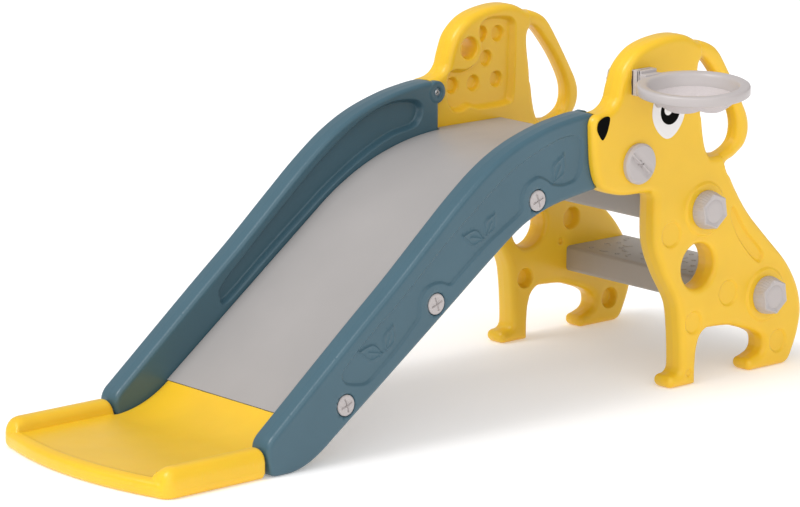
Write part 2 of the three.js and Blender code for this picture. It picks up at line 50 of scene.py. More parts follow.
import bmesh
import bpy
import numpy as np
from bpy.props import FloatProperty, FloatVectorProperty, IntProperty, PointerProperty
from mathutils import Matrix, Vector
from mathutils.geometry import delaunay_2d_cdt

bl_info = {
    "name": "Toddler Slide",
    "version": (1, 0, 0),
    "blender": (4, 5, 0),
    "location": "3D View > Sidebar > Slide",
    "description": "Builds a toddler slide with moulded panels, rails, steps and a ball hoop",
    "category": "Add Mesh",
}

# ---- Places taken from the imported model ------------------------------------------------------
LUG = (-138, 479)
PANEL_REAR = 363.0
_low, _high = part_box("lug_screw_left")
_, _far_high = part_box("lug_screw_right")
ORIGIN = Vector(((_low.x + _high.x) / 2 - LUG[0] / 1000, (_low.y + _far_high.y) / 2, 0))
HALF_SPAN = 233.0
PANEL_THICKNESS = 46.0
PANEL_INNER = HALF_SPAN - PANEL_THICKNESS
RAIL_OUTER = HALF_SPAN - 15.5
RAIL_INNER = RAIL_OUTER - 45.0
SLOPE = math.radians(37)
DECK_TOP = 415.0
DECK_START = -115.0
DECK_END = 35.0
DECK_NOSE = 14.0
BED_THICKNESS = 42.0
BED_LAP = 20.0
CREST_RADIUS = 480.0
BED_FOOT = -736.0
TRAY_FLOOR = 28.0
RAIL_TIP = -840.0
RAIL_END = -132.0
STEPS = {"lower": ((265, 134), 192, 159), "upper": ((110, 306), 39, 331)}
RAIL_SCREWS = ((-679, 92), (-488, 228), (-266, 368))
KNOB = (-52, 405.5)
BRACKET = (-50, 545)
HOOP = (-43, -HALF_SPAN - 115)
HOOP_TOP = 555.3
HOOP_DROOP = math.radians(2.7)
HOOP_LEAN = math.radians(3.2)
SIDES = ("left", "right")


# ---- Flat outlines ---------------------------------------------------------------------------
def arc(centre, radius, start, end, step=2.0):
    """Points along an arc, from start to end in degrees."""
    start, end = math.radians(start), math.radians(end)
    n = max(3, int(abs(end - start) * radius / step))
    a = np.linspace(start, end, n + 1)
    return np.c_[centre[0] + radius * np.cos(a), centre[1] + radius * np.sin(a)]


def circle(centre, radius):
    """A full circle, its first point not repeated at the end."""
    return arc(centre, radius, 0, 360)[:-1]


def bend(a, control, b):
    """Points along a quadratic curve from a to b."""
    t = np.linspace(0, 1, 12)[:, None]
    a, control, b = map(np.array, (a, control, b))
    return (1 - t) ** 2 * a + 2 * t * (1 - t) * control + t**2 * b


def through(*knots, closed=False, steps=12):
    """A smooth curve through the knots."""
    k = np.array(knots, float)
    n = len(k)
    out = []
    for i in range(n if closed else n - 1):
        if closed:
            p = k[[(i - 1) % n, i, (i + 1) % n, (i + 2) % n]]
        else:
            p = k[[max(i - 1, 0), i, i + 1, min(i + 2, n - 1)]]
        t = np.linspace(0, 1, steps, endpoint=False)[:, None]
        v0, v1 = (p[2] - p[0]) / 2, (p[3] - p[1]) / 2
        out.append(
            (2 * t**3 - 3 * t**2 + 1) * p[1] + (t**3 - 2 * t**2 + t) * v0
            + (3 * t**2 - 2 * t**3) * p[2] + (t**3 - t**2) * v1
        )
    if not closed:
        out.append(k[-1:])
    return np.concatenate(out)


def even(points, spacing):
    """The closed outline with its points evenly spaced, anticlockwise."""
    p = np.array(points, float)
    p = p[np.linalg.norm(p - np.roll(p, -1, 0), axis=1) > 1e-6]
    if area_of(p) < 0:
        p = p[::-1]
    q = np.r_[p, p[:1]]
    s = np.r_[0, np.cumsum(np.linalg.norm(np.diff(q, axis=0), axis=1))]
    t = np.linspace(0, s[-1], max(12, round(s[-1] / spacing)), endpoint=False)
    return np.c_[np.interp(t, s, q[:, 0]), np.interp(t, s, q[:, 1])]


def area_of(p):
    """Signed area, positive for an anticlockwise loop."""
    q = np.roll(p, -1, 0)
    return 0.5 * np.sum(p[:, 0] * q[:, 1] - q[:, 0] * p[:, 1])


def inside(points, loop):
    """Which points lie inside the closed loop."""
    x, y = points[:, :1], points[:, 1:]
    a, b = loop, np.roll(loop, -1, 0)
    out = np.zeros(len(points), bool)
    for i in range(0, len(points), 4000):
        xs, ys = x[i : i + 4000], y[i : i + 4000]
        crosses = (a[:, 1] > ys) != (b[:, 1] > ys)
        with np.errstate(divide="ignore", invalid="ignore"):
            at = (b[:, 0] - a[:, 0]) * (ys - a[:, 1]) / (b[:, 1] - a[:, 1]) + a[:, 0]
        out[i : i + 4000] = np.sum(crosses & (xs < at), axis=1) % 2 == 1
    return out


def distance_to(points, line, closed=True):
    """Distance from each point to the outline."""
    a = line if closed else line[:-1]
    b = np.roll(line, -1, 0) if closed else line[1:]
    d = b - a
    length = np.maximum((d**2).sum(1), 1e-12)
    out = np.empty(len(points))
    for i in range(0, len(points), 2000):
        p = points[i : i + 2000, None, :]
        t = np.clip(((p - a) * d).sum(2) / length, 0, 1)
        out[i : i + 2000] = np.sqrt(((p - (a + t[..., None] * d)) ** 2).sum(2)).min(1)
    return out


def depth_in(points, loop):
    """Distance from each point to the closed loop, negative outside it."""
    depth = distance_to(points, loop)
    depth[~inside(points, loop)] *= -1
    return depth


def smooth(t):
    """A step from 0 to 1 with soft ends, as t goes from 0 to 1."""
    t = np.clip(t, 0, 1)
    return t * t * (3 - 2 * t)


def offset(loop, distance):
    """The loop moved to its left by distance, point by point."""
    t = np.roll(loop, -1, 0) - np.roll(loop, 1, 0)
    n = np.c_[-t[:, 1], t[:, 0]] / np.maximum(np.linalg.norm(t, axis=1), 1e-9)[:, None]
    return loop + n * distance


def clear_offset(loop, distance, share):
    """The moved loop's points that keep at least that share of the distance to the loop."""
    moved = offset(loop, distance)
    return moved[distance_to(moved, loop) > abs(distance) * share]


def left_normals(line):
    """Unit normals on the left of an open line, point by point."""
    t = np.gradient(line, axis=0)
    return np.c_[-t[:, 1], t[:, 0]] / np.linalg.norm(t, axis=1)[:, None]


# ---- Features pressed into a plate's faces ---------------------------------------------------
WALL_STEPS = (-0.62, -0.5, -0.36, -0.18, 0, 0.18, 0.36, 0.5, 0.62)


def disc(centre, radius, height, wall=4.0):
    """A round boss, or a dimple where height is negative."""
    centre = np.array(centre, float)

    def rise(p):
        d = np.linalg.norm(p - centre, axis=1)
        return height * smooth((radius + wall / 2 - d) / wall)

    count = max(20, int(2 * math.pi * radius / 2.4))
    angles = np.arange(count) * 2 * math.pi / count
    ring = np.c_[np.cos(angles), np.sin(angles)]
    marks = [centre + ring * (radius + wall * k) for k in WALL_STEPS if radius + wall * k > 1]
    return rise, np.concatenate(marks)


def field(outline, height, wall=5.0, spacing=3.0):
    """An area raised or sunk by height inside the outline."""
    loop = even(outline, spacing)

    def rise(p):
        return height * smooth((depth_in(p, loop) + wall / 2) / wall)

    return rise, np.concatenate([clear_offset(loop, wall * k, 0.9) for k in WALL_STEPS])


def ridge(line, height, width=1.6):
    """A fine raised line."""
    line = np.array(line, float)

    def rise(p):
        d = distance_to(p, line, closed=False)
        return height * smooth(1 - d / width)

    n = left_normals(line)
    return rise, np.concatenate([line + n * width * k for k in (-1, -0.55, 0, 0.55, 1)])


def guide_lines(marks):
    """No height of its own, only points for another surface to follow."""
    return (lambda p: np.zeros(len(p))), marks


# ---- Plates with rolled rims -----------------------------------------------------------------
MIN_GAP = 0.25
CELL = 0.9
RIM_ANGLES = (20, 38, 54, 70, 90, 112)


def windings(loops):
    """1 for the outline and -1 for each hole."""
    return [1] + [-1] * (len(loops) - 1)


def on_plate(points, loops):
    """Which points lie inside the outline and outside its holes."""
    keep = inside(points, loops[0])
    for hole in loops[1:]:
        keep &= ~inside(points, hole)
    return keep


def face_sheet(loops, rims, features, level, cap, grid):
    """One face of a plate: its points, heights, triangles and the loops' own points.

    level is the face's height over the middle; cap gives the most it may be at each point."""
    boundary = np.concatenate(loops)
    extra = []
    for loop, rim, turn in zip(loops, rims, windings(loops)):
        for angle in RIM_ANGLES:
            d = rim * (1 - math.cos(math.radians(angle)))
            extra.append(clear_offset(loop, d * turn, 0.97))
    extra += [marks for _, marks in features]
    low, high = boundary.min(0), boundary.max(0)
    nx, ny = np.ceil((high - low) / grid).astype(int)
    gx, gy = np.meshgrid(low[0] + grid * (np.arange(nx) + 0.5), low[1] + grid * (np.arange(ny) + 0.5))
    gx[1::2] += grid / 2
    extra.append(np.c_[gx.ravel(), gy.ravel()])
    points = np.concatenate(extra)
    points = points[on_plate(points, loops)]
    for loop in loops:
        points = points[distance_to(points, loop) > MIN_GAP]
    # one point per small cell, so that crossing rings leave no slivers
    _, first = np.unique(np.round(points / CELL).astype(int), axis=0, return_index=True)
    points = np.concatenate([boundary, points[np.sort(first)]])
    edges, start = [], 0
    for loop in loops:
        n = len(loop)
        edges += [(start + i, start + (i + 1) % n) for i in range(n)]
        start += n
    made, _, triangles, origins, _, _ = delaunay_2d_cdt(
        [Vector(p) for p in points], edges, [], 0, 1e-6, True
    )
    where = {o: i for i, group in enumerate(origins) for o in group}
    points = np.array([tuple(v) for v in made])
    triangles = np.array([t for t in triangles if len(t) == 3])
    triangles = triangles[on_plate(points[triangles].mean(1), loops)]
    height = np.full(len(points), float(level))
    for loop, rim in zip(loops, rims):
        d = np.minimum(distance_to(points, loop), rim)
        height -= rim - np.sqrt(np.maximum(rim**2 - (rim - d) ** 2, 0))
    for rise, _ in features:
        height += rise(points)
    if cap is not None:
        height = np.minimum(height, cap(points))
    return points, height, triangles, [where[i] for i in range(len(boundary))]


def moulded_plate(loops, rims, low, high, low_features=(), high_features=(), cap=None, grid=7.0, seam=0.25):
    """A plate across low..high with rolled rims: points as (outline a, outline b, across), and faces.

    Features press into the low or the high face; cap limits the high face; seam is the mould line."""
    middle, half = (low + high) / 2, (high - low) / 2
    lp, lh, lt, lr = face_sheet(loops, rims, low_features, half, None, grid)
    hp, hh, ht, hr = face_sheet(loops, rims, high_features, half, cap, grid)
    verts = [np.c_[lp, middle - lh], np.c_[hp, middle + hh]]
    faces = [tuple(t[::-1]) for t in lt.tolist()]
    faces += [tuple(i + len(lp) for i in t) for t in ht.tolist()]
    base = len(lp) + len(hp)
    start = 0
    for loop, turn in zip(loops, windings(loops)):
        n = len(loop)
        low_ring = [lr[start + i] for i in range(n)]
        high_ring = [hr[start + i] + len(lp) for i in range(n)]
        rings = [low_ring]
        across_low = middle - lh[low_ring]
        across_high = middle + hh[[i - len(lp) for i in high_ring]]
        for share, out in ((0.44, 0), (0.5, seam), (0.56, 0)):
            moved = offset(loop, -out * turn)
            verts.append(np.c_[moved, across_low * (1 - share) + across_high * share])
            rings.append(list(range(base, base + n)))
            base += n
        rings.append(high_ring)
        for a, b in zip(rings[:-1], rings[1:]):
            for i in range(n):
                j = (i + 1) % n
                quad = (a[i], a[j], b[j], b[i])
                faces.append(quad if turn == 1 else quad[::-1])
        start += n
    return np.concatenate(verts), faces


# ---- Meshes ----------------------------------------------------------------------------------
def add_object(name, data):
    """A new object in the scene."""
    obj = bpy.data.objects.new(name, data)
    bpy.context.scene.collection.objects.link(obj)
    return obj


def clean_mesh(name, verts, faces, sharp=None):
    """A smooth mesh with merged points and outward faces, from points in metres."""
    mesh = bpy.data.meshes.new(name)
    mesh.from_pydata(verts.tolist(), [], [tuple(f) for f in faces])
    mesh.update()
    b = bmesh.new()
    b.from_mesh(mesh)
    bmesh.ops.remove_doubles(b, verts=b.verts, dist=1e-6)
    bmesh.ops.recalc_face_normals(b, faces=b.faces)
    b.to_mesh(mesh)
    b.free()
    mesh.polygons.foreach_set("use_smooth", [True] * len(mesh.polygons))
    if sharp:
        mesh.set_sharp_from_angle(angle=math.radians(sharp))
    return mesh


def mesh_object(name, verts, faces, material, sharp=None):
    """A finished object in the row's frame, from points in the slide's frame in millimetres."""
    verts = np.asarray(verts, float) / 1000 + np.array(ORIGIN)
    mesh = clean_mesh(name, verts, faces, sharp)
    mesh.materials.append(material)
    return add_object(name, mesh)


def skin(rings, around, closed=False):
    """Faces over rings of equally many points, joined end to start or closed by two end faces."""
    faces = []
    for k in range(rings if closed else rings - 1):
        n = (k + 1) % rings
        for i in range(around):
            j = (i + 1) % around
            faces.append((k * around + i, k * around + j, n * around + j, n * around + i))
    if not closed:
        faces.append(tuple(range(around))[::-1])
        faces.append(tuple((rings - 1) * around + i for i in range(around)))
    return faces


def full_turn(segments):
    """Angles evenly round a circle."""
    return np.arange(segments) * 2 * math.pi / segments


def ring_of(radius, a, height):
    """A ring of points at a height; the radius may differ from angle to angle."""
    return np.c_[radius * np.cos(a), radius * np.sin(a), np.full(len(a), height)]


def side_view(verts):
    """Plate points (x, z, across) as (x, y, z)."""
    v = np.asarray(verts)
    return np.c_[v[:, 0], v[:, 2], v[:, 1]]


def mirrored(verts):
    """The same points on the other side of the slide."""
    return np.asarray(verts) * np.array([1, -1, 1])


def join_parts(parts):
    """Several (verts, faces) as one."""
    verts, faces, base = [], [], 0
    for v, f in parts:
        verts.append(np.asarray(v, float))
        faces += [tuple(i + base for i in face) for face in f]
        base += len(v)
    return np.concatenate(verts), faces


def revolve(profile, segments=64, closed=False):
    """A profile of (radius, height) turned about the z axis."""
    a = full_turn(segments)
    rings = [ring_of(r, a, h) for r, h in profile]
    return np.concatenate(rings), skin(len(rings), segments, closed)


def rounded_bar(size, radius, steps=4):
    """A block with every edge rounded, centred on the origin."""
    b = bmesh.new()
    bmesh.ops.create_cube(b, size=1)
    for v in b.verts:
        v.co = Vector(c * s for c, s in zip(v.co, size))
    bmesh.ops.bevel(b, geom=b.edges[:], offset=radius, segments=steps, affect="EDGES", profile=0.5)
    verts = np.array([tuple(v.co) for v in b.verts])
    faces = [tuple(v.index for v in f.verts) for f in b.faces]
    b.free()
    return verts, faces


def turned(part, degrees, axis):
    """The part turned about an axis of the origin."""
    verts, faces = part
    return np.asarray(verts) @ np.array(Matrix.Rotation(math.radians(degrees), 3, axis)).T, faces


def moved(part, by):
    """The part shifted by a distance along each axis."""
    return np.asarray(part[0]) + np.array(by, float), part[1]


def frame_piece(obj, nodes, body="frame"):
    """Parents a finished piece to the empty of the body it rides on and hides the model's nodes it stands for.
    """
    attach(obj, body)
    if nodes:
        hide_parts(*nodes)
    return obj


# ---- Materials -------------------------------------------------------------------------------
# EDGE_LIGHT is a painted highlight: extra paleness on the convex edges of plastics glossier than FADED_GLEAM
EDGE_LIGHT = 0.06
FADED_GLEAM = 0.3


def node(tree, kind, inputs=(), **values):
    """A new node with its settings and the values of its inputs."""
    made = tree.nodes.new(kind)
    for key, value in values.items():
        setattr(made, key, value)
    for key, value in dict(inputs).items():
        made.inputs[key].default_value = value
    return made


def new_material(name, inputs):
    """A node material: itself, its tree, its shader and a function that links two sockets."""
    material = bpy.data.materials.new(name)
    material.use_nodes = True
    tree = material.node_tree
    shader = tree.nodes["Principled BSDF"]
    for key, value in inputs.items():
        shader.inputs[key].default_value = value
    return material, tree, shader, tree.links.new


def colour_ramp(tree, low, dark, high, light):
    """A ramp from the dark colour at low to the light one at high."""
    ramp = node(tree, "ShaderNodeValToRGB")
    for stop, place, colour in zip(ramp.color_ramp.elements, (low, high), (dark, light)):
        stop.position = place
        stop.color = (*colour, 1)
    return ramp


def moulded_plastic(
    name, colour, rough=0.31, grain=0.05, drift=0.05, soft=0.0, soft_colour=None, gleam=0.5
):
    """Satin plastic: slow colour drift, orange-peel skin, paler convex edges as a painted highlight on the
    rims, and uneven gloss.
    """
    inputs = {"IOR": 1.5, "Specular IOR Level": gleam}
    if soft:
        inputs["Subsurface Weight"] = soft
        inputs["Subsurface Radius"] = soft_colour
        inputs["Subsurface Scale"] = 0.006
    material, tree, shader, link = new_material(name, inputs)
    place = node(tree, "ShaderNodeTexCoord")

    def noise(scale, detail):
        made = node(tree, "ShaderNodeTexNoise", {"Scale": scale, "Detail": detail})
        link(place.outputs["Object"], made.inputs["Vector"])
        return made.outputs["Fac"]

    dark, light = ([min(1, c * share) for c in colour] for share in (1 - drift, 1 + drift))
    ramp = colour_ramp(tree, 0.3, dark, 0.7, light)
    link(noise(7.0, 3.0), ramp.inputs["Fac"])
    # painted highlight: convex edges (high pointiness) are painted paler, with a further lift on glossy
    # plastics
    highlight_edge_geometry = node(tree, "ShaderNodeNewGeometry")
    edge = node(tree, "ShaderNodeMapRange", {"From Min": 0.53, "From Max": 0.62, "To Max": 0.16})
    link(highlight_edge_geometry.outputs["Pointiness"], edge.inputs["Value"])
    painted_highlight_lift = EDGE_LIGHT if gleam > FADED_GLEAM else 0
    painted_highlight_colour = (*[min(1, c * 1.15 + painted_highlight_lift) for c in colour], 1)
    mix = node(tree, "ShaderNodeMix", {"B": painted_highlight_colour}, data_type="RGBA")
    link(edge.outputs["Result"], mix.inputs["Factor"])
    link(ramp.outputs["Color"], mix.inputs["A"])
    link(mix.outputs["Result"], shader.inputs["Base Color"])
    spread = node(tree, "ShaderNodeMapRange", {"To Min": rough - 0.06, "To Max": rough + 0.08})
    link(noise(26.0, 5.0), spread.inputs["Value"])
    link(spread.outputs["Result"], shader.inputs["Roughness"])
    bump = node(tree, "ShaderNodeBump", {"Strength": grain, "Distance": 0.0008})
    link(noise(420.0, 3.0), bump.inputs["Height"])
    link(bump.outputs["Normal"], shader.inputs["Normal"])
    return material


def plated_steel(name):
    """Bright zinc plating."""
    material = moulded_plastic(name, (0.52, 0.53, 0.55), rough=0.3, grain=0.03, drift=0.08)
    material.node_tree.nodes["Principled BSDF"].inputs["Metallic"].default_value = 1.0
    return material


def knitted_mesh(name, colour):
    """Fine knitted netting: rows of stitches in the piece's own UV map."""
    material, tree, shader, link = new_material(name, {"Sheen Weight": 0.3, "Roughness": 0.92})
    place = node(tree, "ShaderNodeTexCoord")
    scale = node(tree, "ShaderNodeMapping", {"Scale": (230, 26, 1)})
    link(place.outputs["UV"], scale.inputs["Vector"])
    cell = node(tree, "ShaderNodeTexVoronoi", {"Scale": 1.0, "Randomness": 0.25}, feature="F1")
    link(scale.outputs["Vector"], cell.inputs["Vector"])
    ramp = colour_ramp(tree, 0.18, [c * 0.72 for c in colour], 0.55, colour)
    link(cell.outputs["Distance"], ramp.inputs["Fac"])
    link(ramp.outputs["Color"], shader.inputs["Base Color"])
    bump = node(tree, "ShaderNodeBump", {"Strength": 0.5, "Distance": 0.001})
    link(cell.outputs["Distance"], bump.inputs["Height"])
    link(bump.outputs["Normal"], shader.inputs["Normal"])
    return material


_made = {}


def finish_of(kind):
    """The named finish, made once, in the colours of the panel."""
    if kind not in _made:
        s = bpy.context.scene.slide_colours
        plastics = {
            "yellow": (s.yellow, dict(soft=0.12, soft_colour=(1.0, 0.45, 0.05))),
            "blue": (s.blue, dict(rough=0.3)),
            "bed": (s.bed, dict(rough=0.42, drift=0.03)),
            "step": (s.step, dict(rough=0.5, grain=0.1)),
            "fitting": (s.fitting, dict(rough=0.32, drift=0.03)),
            "white": ((0.83, 0.81, 0.81), dict(rough=0.3, grain=0.01)),
            "black": ((0.004, 0.004, 0.004), dict(rough=0.6, grain=0.01, gleam=0.02)),
        }
        if kind == "steel":
            _made[kind] = plated_steel("plated_steel")
        elif kind == "net":
            _made[kind] = knitted_mesh("net_knit", s.net)
        else:
            paint, settings = plastics[kind]
            name = f"sticker_{kind}" if kind in ("white", "black") else f"{kind}_plastic"
            _made[kind] = moulded_plastic(name, paint, **settings)
    return _made[kind]


# ---- Outlines of the main pieces -------------------------------------------------------------
def panel_outline():
    """A side panel: feet, muzzle, head, hand grip and curved back."""
    return np.concatenate([
        [(101, 0)],
        arc((47, 11), 11, -90, -270),
        bend((47, 22), (63, 22), (64, 35)),
        through((64, 35), (64, 50), (62.5, 78), (60, 106), (55, 138), (44, 162), (17, 206),
                (-5, 262), (-7, 334)),
        bend((-7, 334), (-7, 350), (-24, 351)),
        through((-24, 351), (-85, 354), (-132, 372), (-151, 410), (-157, 480)),
        bend((-157, 480), (-155, 497), (-138, 498)),
        bend((-138, 498), (-108, 500), (-99, 521)),
        through((-99, 521), (-93, 542), (-80, 571), (-53, 595), (-21, 607), (24, 613), (60, 610),
                (90, 596)),
        bend((90, 596), (97, 594), (105, 595)),
        through((105, 595), (128, 587), (148, 573), (171, 541), (207, 483), (223, 452), (226, 426),
                (217, 403), (200, 390)),
        bend((200, 390), (190, 383), (178, 380)),
        bend((178, 380), (167, 376), (170, 367)),
        through((170, 367), (190, 331), (224, 284), (273, 234), (322, 185), (352, 138),
                (PANEL_REAR, 94), (357, 54), (342, 18)),
        bend((342, 18), (334, 0), (320, 0)),
        arc((241, 11), 11, -90, -270),
        through((241, 22), (251, 25), (262, 30), (268, 40), (264, 57), (242, 70.5), (210, 82),
                (180, 90.5), (131, 94)),
        bend((131, 94), (116, 92), (108, 77)),
        through((108, 77), (103, 58), (101, 31)),
    ])


def hand_hole():
    """The opening behind the hand grip."""
    return through(
        (92, 530), (92, 556), (101, 566), (114, 563), (133, 545), (164, 506), (188, 466), (196, 438),
        (190, 413), (167, 398), (137, 393), (120, 399), (109, 426), (100.5, 478), closed=True, steps=6,
    )


def head_recess():
    """The sunk area on the head's inner face."""
    return through(
        (-96, 456), (-98, 495), (-86, 508), (-56, 506), (-28, 518), (-17, 545), (-24, 574), (-10, 590),
        (22, 592), (52, 584), (57, 560), (56, 500), (54, 452), (44, 439), (0, 437), (-28, 438),
        (-48, 444), (-66, 438), (-84, 440), closed=True,
    )


def back_recess():
    """The long dent beside the curved back."""
    return through(
        (178, 300), (188, 292), (214, 254), (246, 222), (258, 206), (254, 196), (244, 196),
        (222, 214), (194, 248), (178, 280), closed=True,
    )


def rail_outline():
    """A rail, from its end at the muzzle down to its tip."""
    return np.concatenate([
        through((RAIL_END, 369), (-190, 361), (-243, 350), (-300, 327), (-370, 280), (-450, 222),
                (-560, 143), (-640, 86), (-706, 39)),
        bend((-706, 39), (-756, 0), (-796, 0)),
        bend((RAIL_TIP + 20, 0), (RAIL_TIP + 7, 1), (RAIL_TIP + 5, 14)),
        bend((RAIL_TIP, 40), (RAIL_TIP - 2, 56), (-824, 69)),
        through((-824, 69), (-660, 203), (-570, 275), (-490, 343), (-430, 393), (-370, 436), (-310, 466),
                (-240, 487), (-180, 497), (RAIL_END - 20, 499)),
        bend((RAIL_END - 20, 499), (RAIL_END, 499), (RAIL_END, 481)),
    ])


def rail_field():
    """The sunk area on a rail's outer face."""
    return through(
        (-686, 146), (-681, 129), (-656, 122), (-632, 123), (-602, 144), (-566, 172), (-538, 198),
        (-524, 214), (-521, 244), (-503, 260), (-478, 262), (-458, 256), (-440, 268), (-380, 310),
        (-318, 345), (-301, 359), (-302, 376), (-292, 396), (-267, 407), (-246, 400), (-233, 391),
        (-208, 387), (-182, 392), (-171, 406), (-167, 431), (-168, 453), (-178, 464), (-199, 467), (-233, 461),
        (-279, 445), (-324, 425), (-363, 401), (-413, 365), (-457, 333), (-570, 241), (-603, 217),
        (-635, 193), (-667, 166), closed=True,
    )


def hand_channel():
    """The groove along a rail's inner face."""
    return through(
        (-618, 190), (-604, 181), (-520, 244), (-440, 303), (-370, 352), (-300, 392), (-240, 417),
        (-192, 426), (-175, 441), (-175, 460), (-196, 471), (-250, 470), (-320, 444), (-400, 391),
        (-480, 326), (-560, 257), (-614, 208), closed=True,
    )


def leaf(base, tip, width):
    """The two curved edges of a leaf and its midrib."""
    base, tip = np.array(base, float), np.array(tip, float)
    across = np.array([-(tip - base)[1], (tip - base)[0]]) / np.linalg.norm(tip - base) * width
    middle = base * 0.55 + tip * 0.45
    return [
        through(base, middle + across, tip, steps=16),
        through(base, middle - across, tip, steps=16),
        through(base, base * 0.4 + tip * 0.6, steps=16),
    ]


# ---- Settings --------------------------------------------------------------------------------
def colour(name, description, default):
    """A colour setting."""
    return FloatVectorProperty(
        name=name, description=description, default=default, subtype="COLOR", size=3, min=0, max=1
    )


class SlideColours(bpy.types.PropertyGroup):
    """Colours of the slide's plastics."""

    yellow: colour("Yellow", "Side panels and run-out tray", (0.865, 0.53, 0.02))
    blue: colour("Blue", "Rails", (0.052, 0.12, 0.16))
    bed: colour("Bed", "Slide bed", (0.385, 0.366, 0.36))
    step: colour("Step", "Treads", (0.40, 0.365, 0.33))
    fitting: colour("Fitting", "Bolts, knobs, screws and hoop", (0.50, 0.46, 0.455))
    net: colour("Net", "Hoop's net", (0.66, 0.60, 0.60))


def length(name, description, default, low, high):
    """A length setting, in metres."""
    return FloatProperty(
        name=name, description=description, default=default, min=low, max=high, unit="LENGTH", precision=4
    )


class SlideSizes(bpy.types.PropertyGroup):
    """Sizes a user would change."""

    panel_rim: length("Panel rim", "Radius of the panels' rolled rim", 0.012, 0.004, 0.02)
    rail_rim: length("Rail rim", "Radius of the rails' rolled rim", 0.008, 0.003, 0.015)
    point_spacing: length("Spacing", "Distance between outline points", 0.0026, 0.0015, 0.008)
    bolt_ribs: IntProperty(
        name="Bolt ribs", description="Grip ribs round each step bolt", default=36, min=12, max=90
    )


def millimetres(name):
    """One of the panel's lengths, in millimetres."""
    return round(getattr(bpy.context.scene.slide_sizes, name) * 1000, 3)


# ---- Operators -------------------------------------------------------------------------------
class SLIDE_OT_side_panels(bpy.types.Operator):
    """Animal-shaped side panels with rolled rims, bosses, marks and dimples"""

    bl_idname = "slide.side_panels"
    bl_label = "Side panels"

    def execute(self, context):
        spacing = millimetres("point_spacing")
        loops = [
            even(panel_outline(), spacing),
            even(hand_hole(), spacing),
            even(circle((100, 207), 39.5), spacing),
            even(circle(BRACKET, 19), 2.0),
        ]
        rims = [millimetres("panel_rim"), 10.5, 9.0, 4.0]
        handle = [
            (97, 640), (97, 470), (140, 430), (150, 396), (167, 360), (190, 345), (320, 345), (320, 640),
        ]
        thin = field(handle, -7.0, 7.0, 6.0)
        outer = [thin, *(disc(place, 46, 3.6, 5) for place, _, _ in STEPS.values())]
        for x, z, radius in ((32, 272, 22), (174, 150, 22), (90, 110, 19), (302, 45, 20)):
            outer.append(disc((x, z), radius, -3.4, 4.6))
        outer += [disc((81, 23), 6.5, -2.6, 2.4), field(back_recess(), -5.0, 5.0)]
        inner = [thin, field(head_recess(), -12.0, 9.0)]
        for place in ((-12, 565), (27, 562), (0, 521), (25, 481), (-30, 480), (-80, 481)):
            inner.append(disc(place, 12.5, -9.0, 5.5))
        for x, z, radius in ((204, 208, 18), (91, 114, 16), (303, 46, 17)):
            inner.append(disc((x, z), radius, -15.0, 7))
        inner.append(disc((177, 169), 5, -5.0, 3))
        rail = even(rail_outline(), 6)
        free, rebate, cheek = 40.0, PANEL_THICKNESS / 2 - 30.5, -60

        def cap(p):
            """Room for the rail's end behind the muzzle."""
            cut = free - (free - rebate) * smooth((depth_in(p, rail) + 2.4) / 2.0)
            return np.where(p[:, 0] < cheek, cut, free)

        rail_edge = [offset(rail, k) for k in (-2.8, -2.0, -1.2, -0.4, 0.4)]
        inner.append(guide_lines(np.concatenate(rail_edge)))
        verts, faces = moulded_plate(loops, rims, -HALF_SPAN, -PANEL_INNER, outer, inner, cap)
        verts = side_view(verts)
        for side in SIDES:
            v = verts if side == "left" else mirrored(verts)
            obj = mesh_object(f"side_panel_shell_{side}", v, faces, finish_of("yellow"))
            frame_piece(obj, [f"side_panel_{side}"])
        return {"FINISHED"}


class SLIDE_OT_rails(bpy.types.Operator):
    """Side rails with a sunk field, leaves, hand channel and end lug"""

    bl_idname = "slide.rails"
    bl_label = "Rails"

    def execute(self, context):
        loops = [even(rail_outline(), millimetres("point_spacing"))]
        outer = [field(rail_field(), -3.6, 5.0)]
        outer += [disc(place, 18.8, -6.0, 1.4) for place in RAIL_SCREWS]
        leaves = (
            ((-603, 164), (-650, 174), 12), ((-594, 169), (-580, 205), 11),
            ((-386, 321), (-430, 330), 12), ((-378, 327), (-361, 358), 11),
            ((-227, 395), (-207, 436), 13),
        )
        for base, tip, width in leaves:
            upper, lower, midrib = leaf(base, tip, width)
            outer.append(field(np.concatenate([upper, lower[::-1][1:-1]]), 1.5, 3.0, 2.4))
            outer += [ridge(line, 1.4, 2.2) for line in (upper, lower, midrib)]
        inner = [field(hand_channel(), -13.0, 8.0)]
        rims = [millimetres("rail_rim")]
        verts, faces = moulded_plate(loops, rims, -RAIL_OUTER, -RAIL_INNER, outer, inner)
        lug = revolve([
            (2, 0), (17.5, 0), (19, 0.6), (20, 2), (20, 12), (19.2, 13.6), (17.5, 14.6), (11.2, 15),
            (9.6, 14.4), (9.2, 13.6), (9.2, 12.4), (2, 12.4),
        ], 56)
        lug = moved(turned(lug, -90, "X"), (LUG[0], -PANEL_INNER + 0.4, LUG[1]))
        verts, faces = join_parts([(side_view(verts), faces), lug])
        for side in SIDES:
            v = verts if side == "left" else mirrored(verts)
            obj = mesh_object(f"rail_shell_{side}", v, faces, finish_of("blue"))
            frame_piece(obj, [f"rail_{side}"])
        return {"FINISHED"}


def crest_centre():
    """Centre of the arc that joins the slope and the deck."""
    return np.array([DECK_START, DECK_TOP - CREST_RADIUS])


def crest_foot():
    """Where the straight slope meets that arc."""
    return crest_centre() + CREST_RADIUS * np.array([-math.sin(SLOPE), math.cos(SLOPE)])


def slope_height(x):
    """Height of the straight slope at x."""
    foot = crest_foot()
    return foot[1] + (x - foot[0]) * math.tan(SLOPE)


